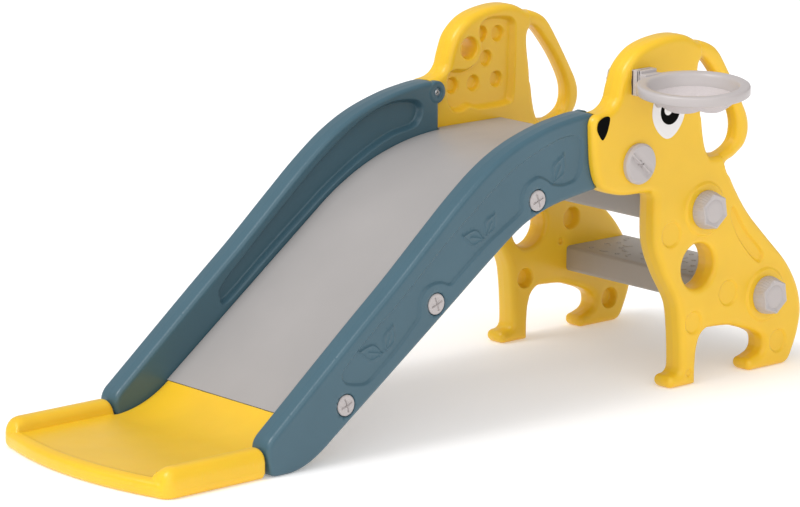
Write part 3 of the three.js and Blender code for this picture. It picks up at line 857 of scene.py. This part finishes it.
def bed_line():
    """The bed's running surface from the tray to the deck's end."""
    t = np.linspace(0, 1, 60)[:, None]
    straight = np.array([BED_FOOT, slope_height(BED_FOOT)]) * (1 - t) + crest_foot() * t
    curve = arc(crest_centre(), CREST_RADIUS, 90 + math.degrees(SLOPE), 90, 6)
    flat = np.c_[np.linspace(DECK_START, DECK_END - DECK_NOSE, 40), np.full(40, DECK_TOP)]
    end = arc((DECK_END - DECK_NOSE, DECK_TOP - DECK_NOSE), DECK_NOSE, 90, 0, 1.5)
    return np.concatenate([straight, curve[1:], flat[1:], end[1:]])


class SLIDE_OT_bed(bpy.types.Operator):
    """Slide bed with its curved crest and level deck"""

    bl_idname = "slide.bed"
    bl_label = "Slide bed"

    def execute(self, context):
        line = bed_line()
        verts = []
        for (x, z), (nx, nz) in zip(line, left_normals(line)):
            wide = RAIL_INNER - 0.4 + (PANEL_INNER - RAIL_INNER) * smooth((x - RAIL_END - 0.5) / 3.0)
            on_nose = x >= DECK_END - DECK_NOSE
            if on_nose:
                nx, nz, depth = 0, 1, BED_THICKNESS - (DECK_TOP - z)
            else:
                depth = BED_LAP + (BED_THICKNESS - BED_LAP) * smooth((x - BED_FOOT - 34) / 2.0)
            section = self.section(wide, depth, 3.5, x)
            verts += [(x - nx * d, y, z - nz * d) for y, d in section]
        faces = skin(len(line), len(section))
        obj = mesh_object("slide_bed_shell", verts, faces, finish_of("bed"), sharp=50)
        frame_piece(obj, ["slide_bed"])
        return {"FINISHED"}

    @staticmethod
    def section(wide, depth, r, x):
        """The cross-section as (y, depth) points: top, right side, ribbed underside, left side."""
        quarter = np.linspace(0.3, 1.57, 5)
        points = [(y, 0.0) for y in np.linspace(-wide + r, wide - r, 13)]
        points += [(wide - r + r * math.sin(a), r - r * math.cos(a)) for a in quarter]
        points += [(wide, depth - r)]
        points += [(wide - r + r * math.cos(a), depth - r + r * math.sin(a)) for a in quarter]
        ribbed = BED_FOOT + 95 < x < DECK_START - 150
        for centre in (110, 0, -110):
            for y, sunk in ((26, 0), (20, 12), (-20, 12), (-26, 0)):
                points.append((centre + y, depth - (sunk if ribbed else 0)))
        edge = -wide + r
        points += [(edge - r * math.sin(a), depth - r + r * math.cos(a)) for a in np.linspace(0, 1.57, 5)]
        points += [(-wide, r)]
        points += [(edge - r * math.cos(a), r - r * math.sin(a)) for a in np.linspace(0.2, 1.4, 5)]
        return points


class SLIDE_OT_tray(bpy.types.Operator):
    """Run-out tray with side flanges and a ramp between the rails"""

    bl_idname = "slide.tray"
    bl_label = "Run-out tray"

    def execute(self, context):
        half, corner, front, bow = 215.0, 28.0, -1043.0, 30.0
        between = RAIL_INNER - 0.4
        rear = RAIL_TIP - 2.0
        lip = BED_FOOT - 0.6
        side, tip = half - corner, front - 2
        outline = np.concatenate([
            [(rear, -between), (rear, -half + 5), (rear - 1.5, -half + 1.5), (rear - 5, -half)],
            bend((front + corner, -half), (front + 1, -half), (tip, -side)),
            bend((tip, -side), (front - bow - 26, 0), (tip, side)),
            bend((tip, side), (front + 1, half), (front + corner, half)),
            [(rear - 5, half), (rear - 1.5, half - 1.5), (rear, half - 5), (rear, between)],
            [(lip + 9, between), (lip + 9, -between)],
        ])
        radius = (slope_height(BED_FOOT) - TRAY_FLOOR) / (1 - math.cos(SLOPE))
        runout = BED_FOOT - radius * math.sin(SLOPE)
        flange_wide, flange_high, clear = 20, 21, 34

        def front_edge(y):
            """The bowed front edge at y."""
            return tip - bow * 0.9 * np.maximum(1 - (y / side) ** 2, 0)

        def surface(p):
            """Height of the tray's top over its floor: ramp, flanges, bead and lip."""
            x, y = p[:, 0], np.abs(p[:, 1])
            ramp = radius - np.sqrt(np.maximum(radius**2 - np.maximum(x - runout, 0) ** 2, 0))
            across = (y - (half - flange_wide)) / flange_wide
            bulge = np.sqrt(np.clip(1 - np.abs(across) ** 2.6, 0, 1))
            nose = np.sqrt(np.clip(1 - (np.clip(front + 30 - x, 0, 26) / 26) ** 2, 0, 1))
            flange = flange_high * bulge * nose * (x < rear + 1)
            level = np.where(x > rear - 4, np.where(y < between + 3, ramp, flange), ramp + flange)
            bead = 1.7 * np.exp(-(((x - front_edge(y) - 15) / 4.5) ** 2)) * (y < half - clear)
            return level + bead - 27 * smooth((x - lip) / 0.8)

        y = np.linspace(-half + 1, half - 1, 60)
        marks = [np.c_[np.full(60, x), y] for x in range(-1040, -738, 6)]
        x = np.linspace(front, rear, 60)
        for sign in (-1, 1):
            for k in (-7, -5, -3, 0, 4, 9, 14, 19, 24):
                marks.append(np.c_[x, np.full(60, sign * (half - clear + k))])
        y = np.linspace(-half + clear, half - clear, 90)
        marks += [np.c_[front_edge(y) + k, y] for k in (5, 8, 10.5, 13, 15, 17, 19.5, 22, 26)]
        y = np.linspace(-between, between, 90)
        marks += [np.c_[np.full(90, lip + k), y] for k in (-1.2, -0.1, 0.9, 3)]
        verts, faces = moulded_plate(
            [even(outline, 2.6)], [10.0], 0, TRAY_FLOOR,
            high_features=[(surface, np.concatenate(marks))], grid=9.0, seam=0.15,
        )
        obj = mesh_object("exit_tray_shell", verts, faces, finish_of("yellow"), sharp=60)
        frame_piece(obj, ["exit_tray"])
        return {"FINISHED"}


def grip_marks(length, width):
    """Small arcs and stars of the treads' grip, as (kind, x, y, turn) at seeded places."""
    rng = np.random.default_rng(7)
    out = []
    for i, y in enumerate(np.arange(-length / 2 + 22, length / 2 - 20, 31)):
        for k, x in enumerate((-48, -16, 16, 48)):
            kind = "arc" if (i + k) % 2 else "star"
            x, y_at = x * width / 150 + rng.uniform(-4, 4), y + rng.uniform(-5, 5)
            out.append((kind, x, y_at, rng.uniform(0, 360)))
    return out


class SLIDE_OT_steps(bpy.types.Operator):
    """Treads with rounded edges; the raised grip is spread by geometry nodes"""

    bl_idname = "slide.steps"
    bl_label = "Steps"

    def execute(self, context):
        half = PANEL_INNER + 5.6
        length, thick = 150.0, 46.0
        arms = [4.6 * np.array([math.cos(a), math.sin(a)]) for a in (0.2, 1.25, 2.3)]
        grips = {
            "arc": ribbon(arc((0, 0), 9.5, 200, 340, 1.2), 1.4, 1.5),
            "star": join_parts([ribbon([-arm, arm], 1.1, 1.4) for arm in arms]),
        }
        spots = grip_marks(2 * PANEL_INNER, length)
        for name, (_, front, top) in STEPS.items():
            middle = front + length / 2
            block = moved(rounded_bar((length, 2 * half, thick), 7.0), (middle, 0, top - thick / 2))
            obj = mesh_object(f"step_{name}_tread", *block, finish_of("step"))
            frame_piece(obj, [f"step_{name}"])
            for kind, part in grips.items():
                mine = [spot for spot in spots if spot[0] == kind]
                places = [(middle + x, y, top - 0.15) for _, x, y, _ in mine]
                turns = [(0, 0, math.radians(turn)) for _, _, _, turn in mine]
                made = scattered(f"step_{name}_grip_{kind}", part, places, turns, finish_of("step"))
                frame_piece(made, [])
        return {"FINISHED"}


def ribbon(line, half_width, height):
    """A low raised bead along a flat line."""
    line = np.asarray(line, float)
    shape = ((-1, 0), (-0.85, 0.6), (-0.4, 1), (0.4, 1), (0.85, 0.6), (1, 0))
    verts = [
        (*(p + n * across * half_width), share * height)
        for p, n in zip(line, left_normals(line))
        for across, share in shape
    ]
    return np.array(verts), skin(len(line), len(shape))


# ---- Geometry nodes --------------------------------------------------------------------------
def scatter_tree():
    """A tree that puts a copy of a piece on each point, turned by the point's own angles."""
    name = "slide_scatter"
    if name in bpy.data.node_groups:
        return bpy.data.node_groups[name]
    tree = bpy.data.node_groups.new(name, "GeometryNodeTree")
    sockets = (("Geometry", "Geometry"), ("Piece", "Object"), ("Size", "Float"), ("Finish", "Material"))
    for socket, kind in sockets:
        made = tree.interface.new_socket(socket, in_out="INPUT", socket_type=f"NodeSocket{kind}")
        if socket == "Size":
            made.default_value = 1.0
    tree.interface.new_socket("Geometry", in_out="OUTPUT", socket_type="NodeSocketGeometry")
    start, end = node(tree, "NodeGroupInput"), node(tree, "NodeGroupOutput")
    dots = node(tree, "GeometryNodeMeshToPoints")
    info = node(tree, "GeometryNodeObjectInfo")
    turn = node(tree, "GeometryNodeInputNamedAttribute", {"Name": "turn"}, data_type="FLOAT_VECTOR")
    put = node(tree, "GeometryNodeInstanceOnPoints")
    real = node(tree, "GeometryNodeRealizeInstances")
    coat = node(tree, "GeometryNodeSetMaterial")
    for source, output, target, socket in (
        (start, "Geometry", dots, "Mesh"),
        (start, "Piece", info, "Object"),
        (dots, "Points", put, "Points"),
        (info, "Geometry", put, "Instance"),
        (turn, "Attribute", put, "Rotation"),
        (start, "Size", put, "Scale"),
        (put, "Instances", real, "Geometry"),
        (real, "Geometry", coat, "Geometry"),
        (start, "Finish", coat, "Material"),
        (coat, "Geometry", end, "Geometry"),
    ):
        tree.links.new(source.outputs[output], target.inputs[socket])
    return tree


def scattered(name, part, places, turns, material, sharp=40):
    """Copies of a part at places in the slide's frame, made by geometry nodes, as one plain mesh."""
    verts, faces = part
    verts = np.asarray(verts, float) / 1000
    one = add_object(name + "_one", clean_mesh(name + "_one", verts, faces, sharp))
    dots = bpy.data.meshes.new(name + "_places")
    dots.from_pydata([tuple(np.array(p, float) / 1000 + np.array(ORIGIN)) for p in places], [], [])
    angles = dots.attributes.new("turn", "FLOAT_VECTOR", "POINT")
    angles.data.foreach_set("vector", np.array(turns, np.float32).ravel())
    host = add_object(name + "_places", dots)
    modifier = host.modifiers.new("scatter", "NODES")
    modifier.node_group = tree = scatter_tree()
    ids = {i.name: i.identifier for i in tree.interface.items_tree if i.in_out == "INPUT"}
    for socket, value in (("Piece", one), ("Size", 1.0), ("Finish", material)):
        modifier[ids[socket]] = value
    graph = bpy.context.evaluated_depsgraph_get()
    made = bpy.data.meshes.new_from_object(host.evaluated_get(graph), depsgraph=graph)
    made.name = name
    if not len(made.polygons):
        raise RuntimeError(f"{name}: geometry nodes made nothing")
    host.modifiers.remove(modifier)
    for obj in (one, host):
        bpy.data.objects.remove(obj)
    return add_object(name, made)


OUTWARD = {"left": (math.radians(90), 0, 0), "right": (math.radians(90), 0, math.radians(180))}


def side_places(spots, level):
    """Places and turns that set a part's own +Z outwards at the same spots on both sides."""
    places, turns = [], []
    for side, sign in (("left", -1), ("right", 1)):
        for x, z in spots:
            places.append((x, sign * level, z))
            turns.append(OUTWARD[side])
    return places, turns


def polar_cap(radius, height_at, rings, segments, skirt):
    """A round head: a surface of height over its radius and angle, closed by a skirt down to -skirt."""
    a = full_turn(segments)
    radii = np.linspace(0, radius, rings + 1)[1:]
    verts = [(0, 0, float(height_at(np.array([0.0]), np.array([0.0]))[0]))]
    for r in radii:
        x, y = r * np.cos(a), r * np.sin(a)
        verts += list(zip(x, y, height_at(x, y)))
    verts += [(radius * math.cos(t), radius * math.sin(t), -skirt) for t in a]
    verts.append((0, 0, -skirt))
    faces = [(0, 1 + i, 1 + (i + 1) % segments) for i in range(segments)]
    for k in range(rings):
        base, nxt = 1 + k * segments, 1 + (k + 1) * segments
        for i in range(segments):
            j = (i + 1) % segments
            faces.append((base + i, nxt + i, nxt + j, base + j))
    last, base = len(verts) - 1, 1 + rings * segments
    faces += [(last, base + (i + 1) % segments, base + i) for i in range(segments)]
    return np.array(verts), faces


def turned_axes(x, y, angle):
    """How far each point lies along and across a line through the centre."""
    c, s = math.cos(angle), math.sin(angle)
    return x * c + y * s, -x * s + y * c


def bar_profile(x, y, angle, half_length, half_width, soft=0.8):
    """1 inside a bar through the centre, 0 outside it."""
    along, across = turned_axes(x, y, angle)
    side = smooth((half_width - np.abs(across)) / soft + 0.5)
    return side * smooth((half_length - np.abs(along)) / soft + 0.5)


def cap_screw():
    """Round head with a crossed slot, a ridge beside each arm and a bevelled rim."""

    arms = (0.35, 0.35 + math.pi / 2)

    def top(x, y):
        h = 1.9 - 1.5 * smooth((np.hypot(x, y) - 15.2) / 2.0)
        for angle in arms:
            h = np.maximum(h, h + 0.55 * bar_profile(x, y, angle, 12.5, 3.4))
        for angle in arms:
            h = h - 2.4 * bar_profile(x, y, angle, 11.5, 1.4, 0.6)
        return h

    return polar_cap(17.2, top, 30, 96, 4.0)


def lug_head():
    """Small domed head with a cross recess."""

    def top(x, y):
        h = 3.4 - 2.6 * smooth((np.hypot(x, y) - 3.0) / 4.4)
        for angle in (0.5, 0.5 + math.pi / 2):
            h = h - 2.0 * bar_profile(x, y, angle, 3.4, 0.7, 0.4)
        return h

    return polar_cap(7.0, top, 14, 48, 1.0)


def knob_head():
    """Wide round cap with a pinched diagonal grip and a small cross at its middle."""

    def top(x, y):
        r = np.hypot(x, y)
        h = 10.6 - 4.0 * smooth((r - 30.6) / 4.0)
        turn = math.radians(-41)
        along, across = turned_axes(x, y, turn)
        h = h - 4.0 * smooth(1 - np.abs(across) / 15) * smooth((31 - r) / 6)
        h = h + 4.4 * smooth(1.3 - np.abs(across) / 2.5) * smooth((30.5 - np.abs(along)) / 3)
        for angle in (turn + 0.7, turn - 0.7):
            h = h - 1.8 * bar_profile(x, y, angle, 7.0, 1.0, 0.5)
        return h

    return polar_cap(34.5, top, 52, 144, 0.0)


def step_bolt():
    """Hand-turned bolt: round base, ribbed sides that turn into a hexagon, raised hexagonal rim."""
    ribs = bpy.context.scene.slide_sizes.bolt_ribs
    a = full_turn(ribs * 4)
    corner, start, base = math.pi / 3, math.radians(99), 33.0
    folded = (a - start + corner / 2) % corner - corner / 2
    hexagon = np.minimum(27.6 / np.cos(np.abs(np.abs(folded) - corner / 2)), 31.6)
    grip = 0.5 * np.cos(a * ribs)
    levels = (
        # height, round radius, share of the hexagon, its change, rib share
        (0, 32.6, 0, 0, 0), (1.0, base, 0, 0, 0.2), (2.0, base, 0, 0, 1), (11, base, 0.25, 0, 1),
        (17.6, base, 0.8, 0, 1), (19.6, base, 1, -0.1, 0.4), (21.9, base, 1, -0.6, 0),
        (23.1, base, 1, -1.8, 0), (23.1, base, 1, -3.6, 0), (22.3, base, 1, -4.6, 0),
        (21.7, base, 1, -5.6, 0),
    )
    rings = [
        ring_of(radius * (1 - share) + (hexagon + change) * share + grip * ribbed, a, height)
        for height, radius, share, change, ribbed in levels
    ]
    rings += [ring_of(r, a, h) for r, h in ((20.6, 21.7), (20.0, 21.2), (19.2, 21.7), (10, 21.9))]
    return np.concatenate(rings), skin(len(rings), len(a))


class SLIDE_OT_fasteners(bpy.types.Operator):
    """Step bolts, panel knobs, rail cap screws and lug screws, spread by geometry nodes"""

    bl_idname = "slide.fasteners"
    bl_label = "Fasteners"

    def execute(self, context):
        rail_names = ("lower", "middle", "upper")
        groups = (
            ("step_bolt_heads", step_bolt(), [bolt for bolt, _, _ in STEPS.values()], HALF_SPAN + 3.3,
             [f"step_bolt_{n}_{s}" for n in STEPS for s in SIDES]),
            ("panel_knob_heads", knob_head(), [KNOB], HALF_SPAN + 0.1,
             [f"panel_knob_{s}" for s in SIDES]),
            ("rail_screw_heads", cap_screw(), RAIL_SCREWS, RAIL_OUTER - 1.6,
             [f"rail_screw_{n}_{s}" for n in rail_names for s in SIDES]),
        )
        for name, part, spots, level, nodes in groups:
            obj = scattered(name, part, *side_places(spots, level), finish_of("fitting"))
            frame_piece(obj, nodes)
        # the lug screws face inwards, so each side takes the other's turn
        places, turns = side_places([LUG], RAIL_INNER + 2.2)
        obj = scattered("lug_screw_heads", lug_head(), places, turns[::-1], finish_of("steel"))
        frame_piece(obj, [f"lug_screw_{s}" for s in SIDES])
        return {"FINISHED"}


def drooped(part):
    """A hoop part turned about the rim's centre, so that it hangs lower outwards and over the slide."""
    verts, faces = part
    turn = np.array(Matrix.Rotation(-HOOP_LEAN, 3, "Y") @ Matrix.Rotation(HOOP_DROOP, 3, "X"))
    centre = np.array([HOOP[0], HOOP[1], HOOP_TOP])
    return (np.asarray(verts) - (0, 0, HOOP_TOP)) @ turn.T + centre, faces


class SLIDE_OT_hoop(bpy.types.Operator):
    """Ball hoop with its hook, the bracket on the left panel and its nut"""

    bl_idname = "slide.hoop"
    bl_label = "Hoop and bracket"

    def execute(self, context):
        x, z = BRACKET
        face = -HALF_SPAN - 0.3
        self.bracket(x, z, face)
        top = HOOP_TOP
        profile = [
            (70.5, top - 21), (73.0, top - 19.5), (78.0, top - 18), (88, top - 17), (91.5, top - 17),
            (93.2, top - 16.1), (94.0, top - 14.5), (94.0, top - 4), (93.2, top - 1.6), (91.0, top - 0.2),
            (88.0, top), (80.0, top - 0.4), (77.2, top - 1.2), (75.4, top - 3.2), (73.8, top - 7),
            (71.6, top - 13), (69.0, top - 19.5), (69.0, top - 21),
        ]
        ring = drooped(revolve(profile, 144, closed=True))
        back = HOOP[1] + 84
        front = face - 9.4
        arm = moved(rounded_bar((39, front - back, 14), 2.2), (x, (front + back) / 2, top - 1.2))
        web = moved(rounded_bar((37, 9, 32), 1.8), (x, front - 4.5, z + 5.5))
        tongue = moved(rounded_bar((32, 5.8, 36), 1.2), (x, face - 8.4, z + 3.2))
        neck = moved(rounded_bar((22, 10, 36), 1.0), (x, face - 12, z + 3.2))
        parts = join_parts([ring, arm, web, tongue, neck])
        obj = mesh_object("hoop_ring_shell", *parts, finish_of("fitting"), sharp=45)
        frame_piece(obj, ["hoop_ring"], "hoop")
        return {"FINISHED"}

    @staticmethod
    def bracket(x, z, face):
        """The channel on the panel's face, its stud and the ribbed nut behind the panel."""
        parts = [moved(rounded_bar((43, 5, 43), 1.4), (x, face - 2.5, z))]
        for side in (-1, 1):
            parts.append(moved(rounded_bar((5.2, 15.4, 43), 1.2), (x + side * 18.9, face - 7.8, z)))
            parts.append(moved(rounded_bar((9.8, 3.8, 43), 1.0), (x + side * 16.6, face - 13.6, z)))
        parts.append(moved(rounded_bar((40, 14, 5), 1.2), (x, face - 8, z - 19)))
        stud = revolve([(17.4, 0), (17.4, 56), (16.4, 57.5), (13.5, 57.5), (12.5, 56), (12.5, 20)], 64)
        parts.append(moved(turned(stud, -90, "X"), (x, face - 1, z)))
        obj = mesh_object("hoop_bracket_shell", *join_parts(parts), finish_of("fitting"), sharp=45)
        frame_piece(obj, ["hoop_bracket"])
        lobes, a = 12, full_turn(144)
        profile = (
            (24.5, 0), (26.6, 1.2), (26.8, 6.5), (25.6, 8.4), (23.5, 9.0), (19.0, 9.0), (18.0, 8.2),
            (18.0, 0),
        )
        rings = [ring_of(r + (0.7 * np.cos(a * lobes) if r > 20 else 0), a, h) for r, h in profile]
        faces = skin(len(rings), len(a), closed=True)
        nut = moved(turned((np.concatenate(rings), faces), -90, "X"), (x, -PANEL_INNER + 0.3, z))
        obj = mesh_object("hoop_bracket_nut_shell", *nut, finish_of("fitting"), sharp=45)
        frame_piece(obj, ["hoop_bracket_nut"])


class SLIDE_OT_net(bpy.types.Operator):
    """Knitted net that hangs from the hoop in soft scallops"""

    bl_idname = "slide.net"
    bl_label = "Net"

    def execute(self, context):
        around, down = 360, 22
        a = full_turn(around)
        top = HOOP_TOP - 19.5
        verts, faces = [], []
        lobes = np.abs(np.sin(a * 3 + 0.35))
        drop = 9.5 + 6.5 * lobes**0.7 + 9 * smooth(0.35 + 0.75 * np.cos(a - 0.85))
        for k in range(down + 1):
            t = k / down
            radius = 70.6 - 0.62 * drop * t + t * (1.8 * lobes + 0.5 * np.sin(a * 11 + 2 * t))
            verts.append(np.c_[radius * np.cos(a), radius * np.sin(a), top - drop * t])
        for k in range(down):
            for i in range(around):
                j = (i + 1) % around
                faces.append((k * around + i, (k + 1) * around + i, (k + 1) * around + j, k * around + j))
        obj = mesh_object("hoop_net_cloth", *drooped((np.concatenate(verts), faces)), finish_of("net"))
        uv = obj.data.uv_layers.new(name="cloth")
        for polygon in obj.data.polygons:
            corners = [obj.data.loops[i].vertex_index for i in polygon.loop_indices]
            us = [(v % around) / around for v in corners]
            if max(us) - min(us) > 0.5:
                us = [u + 1 if u < 0.5 else u for u in us]
            for i, v, u in zip(polygon.loop_indices, corners, us):
                uv.data[i].uv = (u, (v // around) / down)
        solid = obj.modifiers.new("thickness", "SOLIDIFY")
        solid.thickness = 0.0008
        solid.offset = 0
        frame_piece(obj, ["hoop_net"], "hoop")
        return {"FINISHED"}


class SLIDE_OT_stickers(bpy.types.Operator):
    """Printed eye and nostril stickers"""

    bl_idname = "slide.stickers"
    bl_label = "Stickers"

    def execute(self, context):
        centre, rx, rz = (18, 486.5), 39.0, 47.5
        a = np.linspace(0, 2 * math.pi, 120, endpoint=False)
        narrow = np.where(np.sin(a) < 0, 1 - 0.22 * np.sin(a) ** 2, 1.0)
        eye = np.c_[centre[0] + rx * narrow * np.cos(a), centre[1] + rz * np.sin(a)]
        x, z = -131, 474
        nostril = through(
            (x - 5, z - 19), (x + 2, z - 13), (x + 8, z), (x + 11, z + 17), (x - 1, z + 20),
            (x - 15, z + 13), (x - 18, z), (x - 12, z - 12), closed=True,
        )
        prints = (
            ("eye_sticker_print", eye, 0.0, "white", "sticker_white", "eye_sticker"),
            ("pupil_print", circle((21.5, 485.5), 22.8), 0.25, "black", "sticker_black", None),
            ("glint_print", circle((16.5, 488.5), 9.2), 0.5, "white", "sticker_white", None),
            ("nostril_sticker_print", nostril, 0.0, "black", "sticker_black", "nostril_sticker"),
        )
        for name, outline, painted_highlight_lift, kind, slot, stands_for in prints:
            base = -HALF_SPAN - 0.05 - painted_highlight_lift
            verts, faces = moulded_plate([even(outline, 1.6)], [0.2], base - 0.45, base, grid=6.0, seam=0)
            verts = side_view(verts)
            for side in SIDES:
                v = verts if side == "left" else mirrored(verts)
                obj = mesh_object(f"{name}_{side}", v, faces, finish_of(kind))
                frame_piece(obj, [f"{stands_for}_{side}"] if stands_for else [])
        return {"FINISHED"}


class SLIDE_OT_inserts(bpy.types.Operator):
    """Finish of the step inserts, which stay as the model has them"""

    bl_idname = "slide.inserts"
    bl_label = "Step inserts"

    def execute(self, context):
        for name in [f"step_insert_{n}_{s}" for n in STEPS for s in SIDES]:
            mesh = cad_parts[name].data
            mesh.materials.clear()
            mesh.materials.append(finish_of("fitting"))
        return {"FINISHED"}


class SLIDE_OT_stage(bpy.types.Operator):
    """Pale sweep, soft lights and the camera"""

    bl_idname = "slide.stage"
    bl_label = "Stage"

    def execute(self, context):
        self.sweep()
        self.lights()
        self.camera()
        context.scene.view_settings.view_transform = "Standard"
        return {"FINISHED"}

    @staticmethod
    def sweep():
        """A wide floor that lights its own shadows a little."""
        material, _, _, _ = new_material("studio_floor", {
            "Base Color": (0.93, 0.925, 0.925, 1),
            "Roughness": 0.75,
            "Specular IOR Level": 0.2,
            "Emission Color": (1.0, 0.985, 0.975, 1),
            "Emission Strength": 0.24,
        })
        b = bmesh.new()
        bmesh.ops.create_grid(b, x_segments=2, y_segments=2, size=40)
        mesh = bpy.data.meshes.new("floor")
        b.to_mesh(mesh)
        b.free()
        mesh.materials.append(material)
        add_object("floor", mesh)

    @staticmethod
    def lights():
        """A pale sky and three soft suns."""
        world = bpy.data.worlds.new("studio")
        bpy.context.scene.world = world
        world.use_nodes = True
        sky = world.node_tree.nodes["Background"]
        sky.inputs["Color"].default_value = (1.0, 0.99, 0.985, 1)
        sky.inputs["Strength"].default_value = 0.53
        for name, place, spread, power in (
            ("key", (-0.7, 0.15, 1.0), 40, 1.05),
            ("glint", (-0.75, 0.1, 1.0), 12, 0.5),
            ("fill", (-0.5, -0.85, 0.6), 70, 0.85),
        ):
            light = bpy.data.lights.new(name, "SUN")
            light.angle = math.radians(spread)
            light.energy = power
            obj = add_object(name, light)
            obj.location = Vector(place) * 3
            obj.rotation_euler = (-Vector(place)).to_track_quat("-Z", "Y").to_euler()

    @staticmethod
    def camera():
        """Looks from the front left, slightly down, as solved from the side panels."""
        yaw, pitch, roll = -0.726115, 0.219930, 0.00637
        data = bpy.data.cameras.new("camera")
        data.lens = 177.0
        data.clip_start, data.clip_end = 0.1, 200
        camera = add_object("camera", data)
        level = Vector((-math.sin(yaw), math.cos(yaw), 0))
        forward = level * math.cos(pitch) - Vector((0, 0, math.sin(pitch)))
        right = Vector((math.cos(yaw), math.sin(yaw), 0))
        up = right.cross(forward)
        right, up = (
            math.cos(roll) * right + math.sin(roll) * up,
            -math.sin(roll) * right + math.cos(roll) * up,
        )
        turn = Matrix((right, up, -forward)).transposed().to_4x4()
        place = Vector((-4.6207, -4.5486 - HALF_SPAN / 1000, 1.6876)) + ORIGIN
        camera.matrix_world = Matrix.Translation(place) @ turn
        bpy.context.scene.camera = camera


class SLIDE_PT_panel(bpy.types.Panel):
    """Lists the slide's pieces"""

    bl_idname = "SLIDE_PT_panel"
    bl_label = "Toddler slide"
    bl_space_type = "VIEW_3D"
    bl_region_type = "UI"
    bl_category = "Slide"

    def draw(self, context):
        layout = self.layout
        for group in (context.scene.slide_colours, context.scene.slide_sizes):
            for name in type(group).__annotations__:
                layout.prop(group, name)
        for operator in OPERATORS:
            layout.operator(operator.bl_idname)


OPERATORS = (
    SLIDE_OT_side_panels, SLIDE_OT_rails, SLIDE_OT_bed, SLIDE_OT_tray, SLIDE_OT_steps, SLIDE_OT_fasteners,
    SLIDE_OT_hoop, SLIDE_OT_net, SLIDE_OT_stickers, SLIDE_OT_inserts, SLIDE_OT_stage,
)
CLASSES = (SlideColours, SlideSizes, *OPERATORS, SLIDE_PT_panel)


def register():
    for cls in CLASSES:
        bpy.utils.register_class(cls)
    bpy.types.Scene.slide_colours = PointerProperty(type=SlideColours)
    bpy.types.Scene.slide_sizes = PointerProperty(type=SlideSizes)


def unregister():
    del bpy.types.Scene.slide_sizes
    del bpy.types.Scene.slide_colours
    for cls in reversed(CLASSES):
        bpy.utils.unregister_class(cls)


def main():
    register()
    for operator in OPERATORS:
        group, name = operator.bl_idname.split(".")
        getattr(getattr(bpy.ops, group), name)()


if __name__ == "__main__":
    main()
